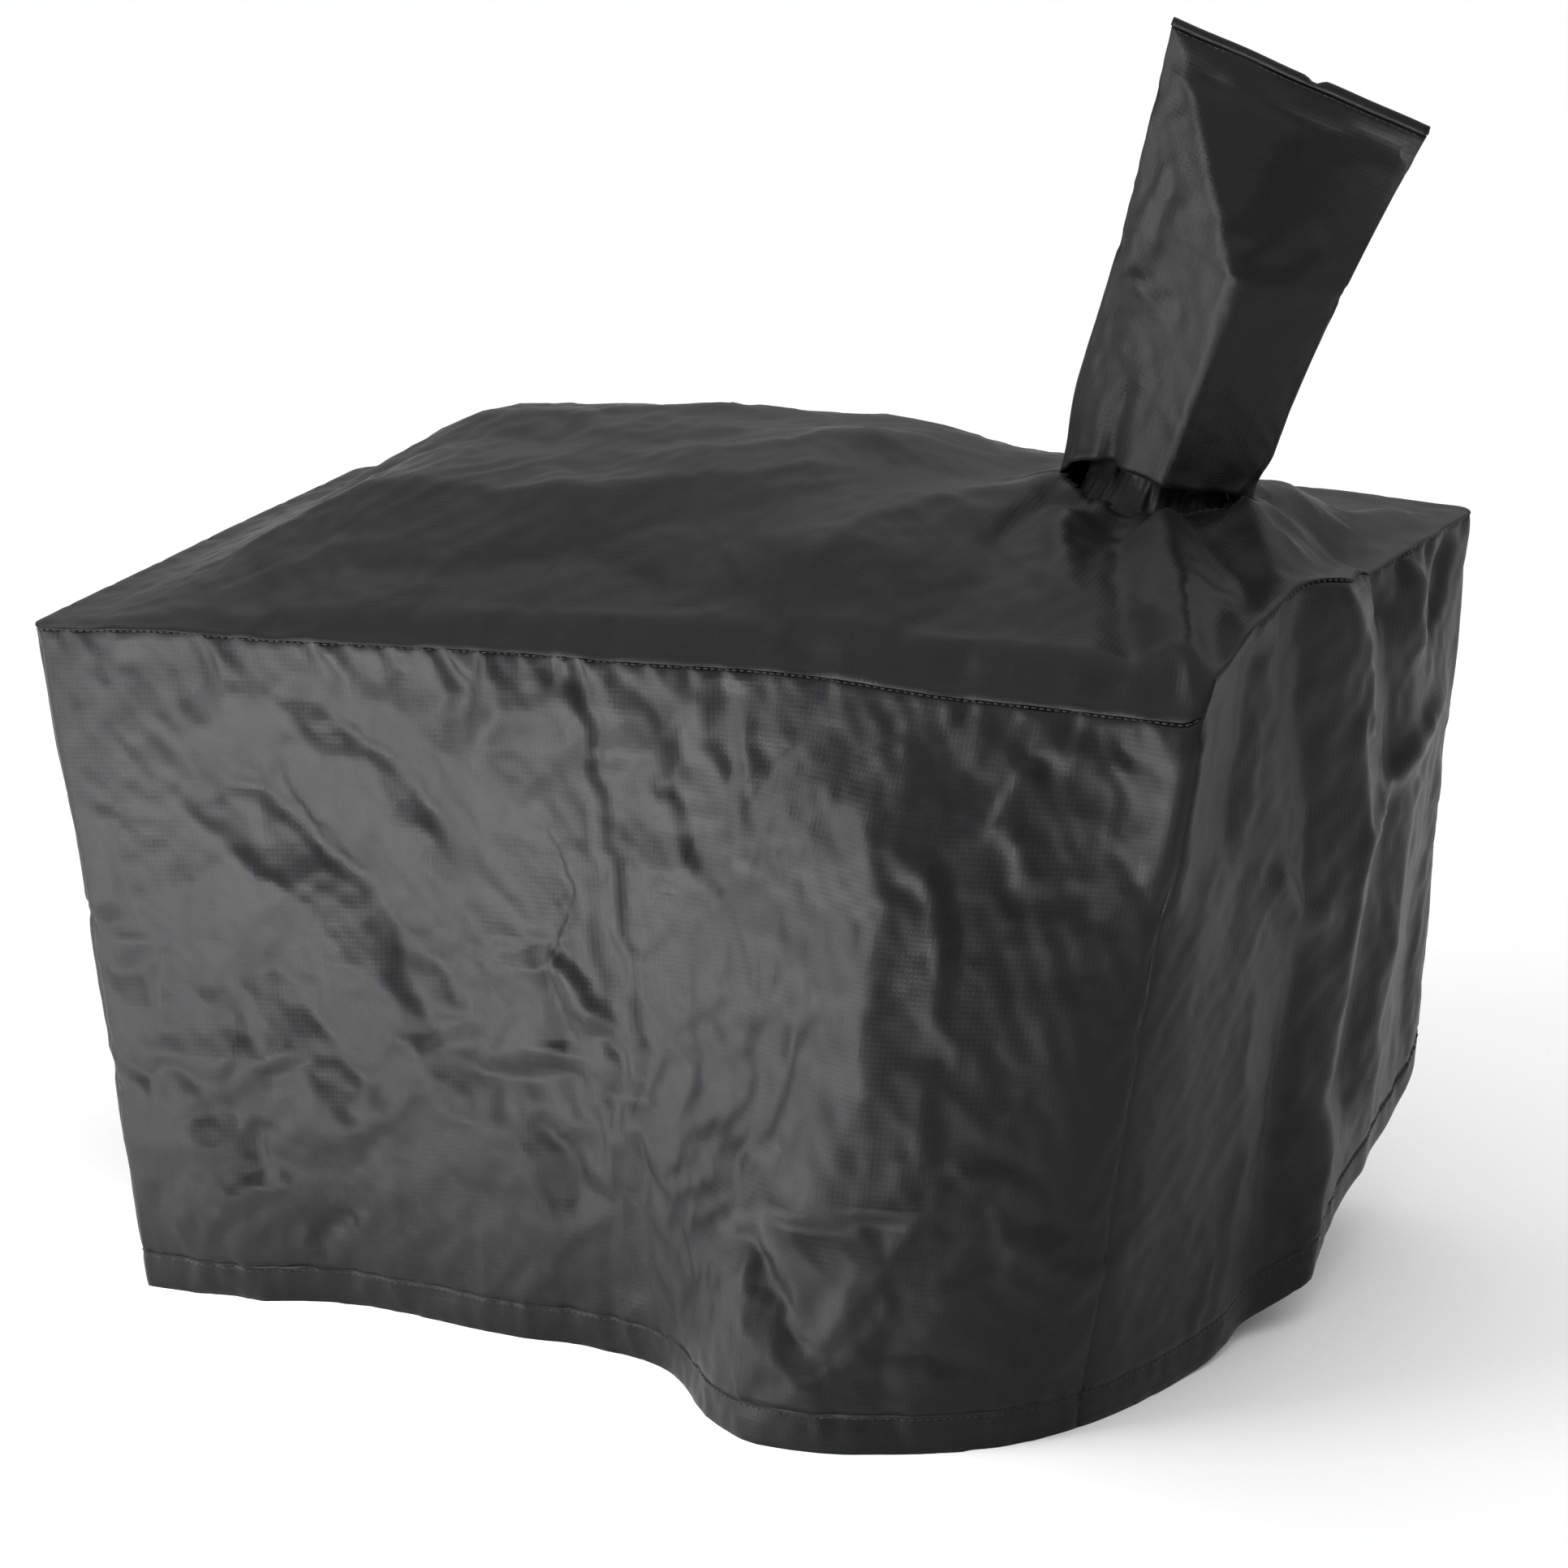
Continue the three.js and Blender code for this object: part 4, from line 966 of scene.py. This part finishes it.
def makeCoatedCloth(name, look):
    material = bpy.data.materials.new(name)
    material.use_nodes = True
    tree = material.node_tree
    tree.nodes.clear()
    uv = addNode(tree, "ShaderNodeUVMap", {"uv_map": "cut"}).outputs["UV"]
    place = addNode(tree, "ShaderNodeTexCoord").outputs["Object"]

    def weave(direction):
        return addNode(tree, "ShaderNodeTexWave", {"wave_type": "BANDS", "bands_direction": direction},
                       {"Scale": 1000 / look["threadMm"] / 20 * math.pi, "Distortion": 0.4, "Detail": 1.0,
                        "Detail Scale": 2.0}, {"Vector": uv}).outputs["Fac"]

    threads = addNode(tree, "ShaderNodeMath", {"operation": "MULTIPLY"}, {},
                      {0: weave("X"), 1: weave("Y")}).outputs[0]
    cloudy = addNode(tree, "ShaderNodeTexNoise", {}, {"Scale": 5.0, "Detail": 4.0, "Roughness": 0.6},
                     {"Vector": place}).outputs["Fac"]
    creases = None
    for turn, stretch, size in look["creases"]:
        scale = (1000 / size, 1000 / size / stretch, 1)
        turned = addNode(tree, "ShaderNodeMapping", {},
                         {"Rotation": (0, 0, math.radians(turn)), "Scale": scale},
                         {"Vector": uv}).outputs["Vector"]
        ridge = addNode(tree, "ShaderNodeTexNoise", {"noise_type": "RIDGED_MULTIFRACTAL", "normalize": True},
                        {"Scale": 1.0, "Detail": 3.0, "Roughness": 0.5, "Lacunarity": 2.2},
                        {"Vector": turned}).outputs["Fac"]
        line = addNode(tree, "ShaderNodeMapRange", {"interpolation_type": "SMOOTHSTEP"},
                       {"From Min": 0.62, "From Max": 0.95, "To Min": 0.0, "To Max": 1.0},
                       {"Value": ridge}).outputs[0]
        creases = line if creases is None else addNode(
            tree, "ShaderNodeMath", {"operation": "MAXIMUM"}, {}, {0: creases, 1: line}).outputs[0]

    worn = addNode(tree, "ShaderNodeMath", {"operation": "MULTIPLY_ADD"}, {1: 0.45, 2: 0.0},
                   {0: creases}).outputs[0]
    shade = addNode(tree, "ShaderNodeMath", {"operation": "MULTIPLY_ADD", "use_clamp": True}, {1: 0.8},
                    {0: cloudy, 2: worn}).outputs[0]
    colour = addNode(tree, "ShaderNodeMixRGB", {}, {1: linear(look["dark"]), 2: linear(look["light"])},
                     {"Fac": shade}).outputs[0]
    rough = addNode(tree, "ShaderNodeMapRange", {},
                    {"From Min": 0.3, "From Max": 0.7, "To Min": look["roughness"] - 0.05,
                     "To Max": look["roughness"] + 0.07}, {"Value": cloudy}).outputs[0]
    threadBump = addNode(tree, "ShaderNodeBump", {}, {"Strength": 0.22, "Distance": 0.0003},
                         {"Height": threads}).outputs["Normal"]
    creaseBump = addNode(tree, "ShaderNodeBump", {}, {"Strength": 0.35, "Distance": 0.0006},
                         {"Height": creases, "Normal": threadBump}).outputs["Normal"]
    shader = addNode(tree, "ShaderNodeBsdfPrincipled", {},
                     {"Specular IOR Level": 0.17, "IOR": 1.5, "Sheen Weight": 0.02, "Sheen Roughness": 0.45},
                     {"Base Color": colour, "Roughness": rough, "Normal": creaseBump})
    addNode(tree, "ShaderNodeOutputMaterial", {}, {}, {"Surface": shader.outputs[0]})
    return material


# Woven binding tape gives the eye a matt edge with a fine slanting rib, beside the glossier cloth.
wovenTape = {"dark": "#101012", "light": "#1c1c1e", "roughness": 0.8}
# Spun thread gives the eye small matt dashes, a little darker than the tape.
spunThread = {"dark": "#08080a", "light": "#121214", "roughness": 0.75}


def makeTape(name, look):
    material = bpy.data.materials.new(name)
    material.use_nodes = True
    tree = material.node_tree
    tree.nodes.clear()
    place = addNode(tree, "ShaderNodeTexCoord").outputs["Object"]
    rib = addNode(tree, "ShaderNodeTexWave", {"bands_direction": "DIAGONAL"},
                  {"Scale": 260.0, "Distortion": 1.0, "Detail": 1.0}, {"Vector": place}).outputs["Fac"]
    colour = addNode(tree, "ShaderNodeMixRGB", {}, {1: linear(look["dark"]), 2: linear(look["light"])},
                     {"Fac": rib}).outputs[0]
    bump = addNode(tree, "ShaderNodeBump", {}, {"Strength": 0.4, "Distance": 0.0002},
                   {"Height": rib}).outputs["Normal"]
    shader = addNode(tree, "ShaderNodeBsdfPrincipled", {},
                     {"Roughness": look["roughness"], "Specular IOR Level": 0.3, "Sheen Weight": 0.2},
                     {"Base Color": colour, "Normal": bump})
    addNode(tree, "ShaderNodeOutputMaterial", {}, {}, {"Surface": shader.outputs[0]})
    return material


clothMaterial = makeCoatedCloth("coated woven polyester", coatedCloth)
tapeMaterial = makeTape("woven binding tape", wovenTape)
threadMaterial = makeTape("spun polyester thread", spunThread)
print("materials made")


# The cover's pieces

skirtShape = shapeSkirt()
topShape = shapeTop(skirtShape[0])
sleeveShape = shapeSleeve(sleeveCells["round"], sleeveCells["along"])
skirtShape, topShape, sleeveShape = settleCover(skirtShape, topShape, sleeveShape)
print("cloth settled")
skirt, skirtUv = refineSkirt(skirtShape)
top, topUv, sleeveAway = refineTop(topShape)
sleeveFine, sleeveUv = refineSleeve(sleeveShape)
skirtNormals = gridNormals(skirt, True)

sewing = {
    "tuckIn": 1.5,  # the panels go in under the top panel's edge by this much
    "tuckDown": 1.2,
    "tapeInset": 1.3,
    "sleeveTapeInset": 1.2,
    "tape": 0.5,  # thickness
    "rim": 0.5,  # the top panel's edge stands out and turns down by this much
    "mouth": -0.08,  # the top panel is open under the sleeve, inside this
}
hemRows = round(cover["hemHeight"] / 3.6)
fineCorners = cornerColumns * 2


def ringSlice(values, start, stop):  # columns start to stop of a closed grid, past the end if need be
    return np.take(values, np.arange(start, stop + 1) % values.shape[1], axis=1)


panels, hems, trims = {}, {}, {name: [] for name in sideNames}
for side, name in enumerate(sideNames):
    first, last = fineCorners[side], fineCorners[side + 1]
    grid, uv = ringSlice(skirt, first, last), ringSlice(skirtUv, first, last)
    if side == 3:
        uv = uv.copy()
        uv[:, -1, 0] = sum(seamLengths) / 1000
    normal = ringSlice(skirtNormals, first, last)
    panel = grid[:-hemRows].copy()
    panel[0] -= normal[0] * sewing["tuckIn"]
    panel[0, :, 2] -= sewing["tuckDown"]
    panels[name] = addCloth(
        f"{name}_panel_cloth", panel, uv[:-hemRows], clothMaterial, f"{name}_panel", cover["cloth"])
    band, bandUv = grid[-hemRows - 1:], uv[-hemRows - 1:]
    hems[name] = addCloth(f"{name}_hem", band, bandUv, clothMaterial, f"{name}_hem_band", cover["hem"])

    inner = (grid - normal * sewing["tapeInset"])[1:5]
    tape = addCloth(f"{name}_top_tape", inner, uv[1:5], tapeMaterial, f"{name}_top_binding", sewing["tape"])
    seamPath = grid[0] * 0.55 + grid[1] * 0.45
    seamStitches = addStitches(
        f"{name}_seam_stitches", seamPath, normal[1], threadMaterial, f"{name}_seam_thread")
    hemPath = grid[-hemRows] * 0.6 + grid[-hemRows - 1] * 0.4
    hemStitches = addStitches(
        f"{name}_hem_stitches", hemPath, normal[-hemRows], threadMaterial, f"{name}_hem_thread")
    trims[name] += [tape, seamStitches, hemStitches]

for side, name in enumerate(sideNames):
    before = sideNames[side - 1]
    corner = fineCorners[side] + skirt.shape[1]
    inner = ringSlice(skirt - skirtNormals * sewing["tapeInset"], corner - 3, corner + 3)[6:-hemRows - 1]
    uv = ringSlice(skirtUv, corner - 3, corner + 3)[6:-hemRows - 1]
    node = f"{before}_{name}_corner_binding"
    tape = addCloth(f"{before}_{name}_corner_tape", inner, uv, tapeMaterial, node, sewing["tape"])
    trims[name].append(tape)
print("skirt sewn")

topGrid = top.copy()
rimOut = np.zeros_like(topGrid)
ringOut = skirtNormals[0]
across, deep = sideCells[0] * 2, sideCells[1] * 2
for target, values in (
    ((0, slice(None)), ringOut[:across + 1]),
    ((slice(None), -1), ringOut[across:across + deep + 1]),
    ((-1, slice(None)), ringOut[across + deep:2 * across + deep + 1][::-1]),
    ((slice(None), 0), np.concatenate([ringOut[2 * across + deep:], ringOut[:1]])[::-1]),
):
    rimOut[target] = values
topGrid += rimOut * sewing["rim"]
topGrid[..., 2] -= sewing["rim"] * (np.abs(rimOut).sum(2) > 0)
mouth = sleeveAway < sewing["mouth"]
topPiece = addCloth(
    "top_panel_cloth", topGrid, topUv, clothMaterial, "top_panel", cover["cloth"], flip=True, drop=mouth)
print("top panel sewn")

half = sleeveFine.shape[1] // 2
for name, first in (("front", 0), ("back", half)):
    grid, uv = ringSlice(sleeveFine, first, first + half), ringSlice(sleeveUv, first, first + half)
    node = f"sleeve_{name}_panel"
    piece = addCloth(f"sleeve_{name}_cloth", grid, uv, clothMaterial, node, cover["cloth"])
sleeveNormals = gridNormals(sleeveFine, True)
rowsFine = sleeveFine.shape[0]
for name, column in (("left", 0), ("right", half)):
    pick = slice(int(rowsFine * 0.45), int(rowsFine * 0.9))
    seam = column + 2 * half
    inner = ringSlice(sleeveFine - sleeveNormals * sewing["sleeveTapeInset"], seam - 2, seam + 2)[pick]
    uv = ringSlice(sleeveUv, seam - 2, seam + 2)[pick]
    node = f"sleeve_{name}_seam_binding"
    tape = addCloth(f"sleeve_{name}_tape", inner, uv, tapeMaterial, node, sewing["tape"])

collar = {
    "around": 288,
    # share of the sleeve's length and distance out from the sleeve, from inside the sleeve to the lip
    "profile": [(0.13, -6), (0.105, -10), (0.08, -14), (0.055, -16), (0.03, -16), (0.005, -14),
                (-0.018, -10.5), (-0.03, -6), (-0.037, -2.5), (-0.04, 1), (-0.037, 4), (-0.046, 6),
                (-0.058, 7)],
    "pleat": 1.7,
}


def makeCollar():
    angle = (math.pi + 2 * math.pi * np.arange(collar["around"]) / collar["around"])[None]
    shares = np.array([pair[0] for pair in collar["profile"]])
    reach = np.array([pair[1] for pair in collar["profile"]])[:, None]
    run = angle * 56
    grid = shapeSleeve(collar["around"], len(shares) - 1, shares)
    out = np.stack([np.cos(angle) + 0 * reach, np.sin(angle) + 0 * reach, 0 * angle + 0 * reach], 2)
    t = np.linspace(0, 1, len(shares))[:, None]
    pleats = wave(run, (9, 13, 17, 29), 51) + 0.8 * wave(run, (37, 23), 52)
    lean = reach + collar["pleat"] * pleats * smooth(t, 0, 0.4) * (1 - 0.6 * smooth(t, 0.75, 1))
    lean = np.where(reach < -4, np.minimum(lean, reach + 3.5), lean)
    grid = grid + out * lean[..., None]
    front = np.exp(-((angle - 1.5 * math.pi) / 0.9) ** 2)
    grid[..., 2] += (1.6 * wave(run, (37, 59), 53) - 6 * front) * smooth(t, 0.3, 1)
    uv = np.stack([run / 1000 + 0 * t, t * 0.05 + 0 * angle], 2)
    piece = addCloth("sleeve_collar_gather", grid, uv, clothMaterial, "sleeve_collar", 0.6, closed=True)


makeCollar()


endSeam = {
    "steps": 60,
    # rise and depth of each row across the folded seam
    "rows": [(0.0, -2.0), (1.8, -1.9), (3.8, -1.4), (4.6, 0), (3.8, 1.4), (1.8, 1.9), (0.0, 2.0)],
    "dip": {"at": 0.56, "depth": -2.6, "width": 0.025},
}


def makeEndSeam():
    count, dipping = endSeam["steps"], endSeam["dip"]
    s = np.arange(count + 1) / count
    tip = shapeSleeve(4, 1)[0]
    left, right = tip[0], tip[2]
    alongSeam = (right - left) / np.linalg.norm(right - left)
    up = np.array([-alongSeam[2], 0, alongSeam[0]])
    base = left[None] + (right - left)[None] * s[:, None]
    base[:, 1] += 0.9 * wave(s * 160, (53, 90), 61)
    dip = dipping["depth"] * np.exp(-((s - dipping["at"]) / dipping["width"]) ** 2)
    dip += 1.2 * smooth(s, dipping["at"], 0.6)
    rows = []
    for rise, depth in endSeam["rows"]:
        rows.append(base + up * (rise + dip[:, None] * (rise > 3)) + np.array([0, depth, 0]))
    grid = np.stack(rows)[::-1]
    uv = np.stack([s[None] * 0.16 + 0 * grid[..., 0], grid[..., 2] / 1000], 2)
    piece = addCloth("sleeve_end_fold", grid, uv, clothMaterial, "sleeve_end_seam", 0.5)
    path = base - up * 1.5 + np.array([0, -2.1, 0])
    toFront = np.tile([[0.0, -1.0, 0.0]], (count + 1, 1))
    addStitches("sleeve_end_stitches", path, toFront, threadMaterial, "sleeve_end_thread")


makeEndSeam()
print("sleeve sewn")


# Floor and light

studio = {"floor": "#f2f2f2", "world": 0.3, "overhead": 2.6, "side": 62, "pool": 43, "back": 3}


def makeStudio():
    mesh = bpy.data.meshes.new("floor")
    size = 30
    corners = [(-size, -size, 0), (size, -size, 0), (size, size, 0), (-size, size, 0)]
    mesh.from_pydata(corners, [], [(0, 1, 2, 3)])
    floor = bpy.data.objects.new("floor", mesh)
    scene.collection.objects.link(floor)
    # matt painted board: a plain near-white ground that takes soft shadows and shows no gloss
    material = bpy.data.materials.new("matt studio floor")
    material.use_nodes = True
    shader = material.node_tree.nodes["Principled BSDF"]
    shader.inputs["Base Color"].default_value = linear(studio["floor"])
    shader.inputs["Roughness"].default_value = 0.9
    shader.inputs["Specular IOR Level"].default_value = 0.1
    mesh.materials.append(material)

    world = bpy.data.worlds.new("studio")
    world.use_nodes = True
    world.node_tree.nodes["Background"].inputs["Color"].default_value = (1, 1, 1, 1)
    world.node_tree.nodes["Background"].inputs["Strength"].default_value = studio["world"]
    scene.world = world

    def area(name, place, aim, width, height, power):  # metres and watts
        data = bpy.data.lights.new(name, "AREA")
        data.shape = "RECTANGLE"
        data.size, data.size_y, data.energy = width, height, power
        light = bpy.data.objects.new(name, data)
        light.location = place
        light.rotation_mode = "QUATERNION"
        light.rotation_quaternion = (Vector(aim) - Vector(place)).to_track_quat("-Z", "Y")
        scene.collection.objects.link(light)

    area("side softbox", (-2.2, -1.7, 0.8), (0, 0, 0.25), 1.6, 1.5, studio["side"])
    area("gridded softbox", (-0.5, -0.95, 1.1), (-0.5, -0.9, 0), 0.9, 0.7, studio["pool"])
    bpy.data.lights["gridded softbox"].spread = math.radians(60)
    area("back softbox", (-1.35, 2.6, 1.35), (0, 0, 0.45), 2.6, 1.2, studio["back"])
    sun = bpy.data.lights.new("overhead", "SUN")
    sun.energy, sun.angle = studio["overhead"], math.radians(120)
    overhead = bpy.data.objects.new("overhead", sun)
    overhead.rotation_euler = (-0.1, 0.2, 0)
    scene.collection.objects.link(overhead)


makeStudio()
scene.view_settings.view_transform = "Standard"
scene.view_settings.look = "None"
print("studio set")
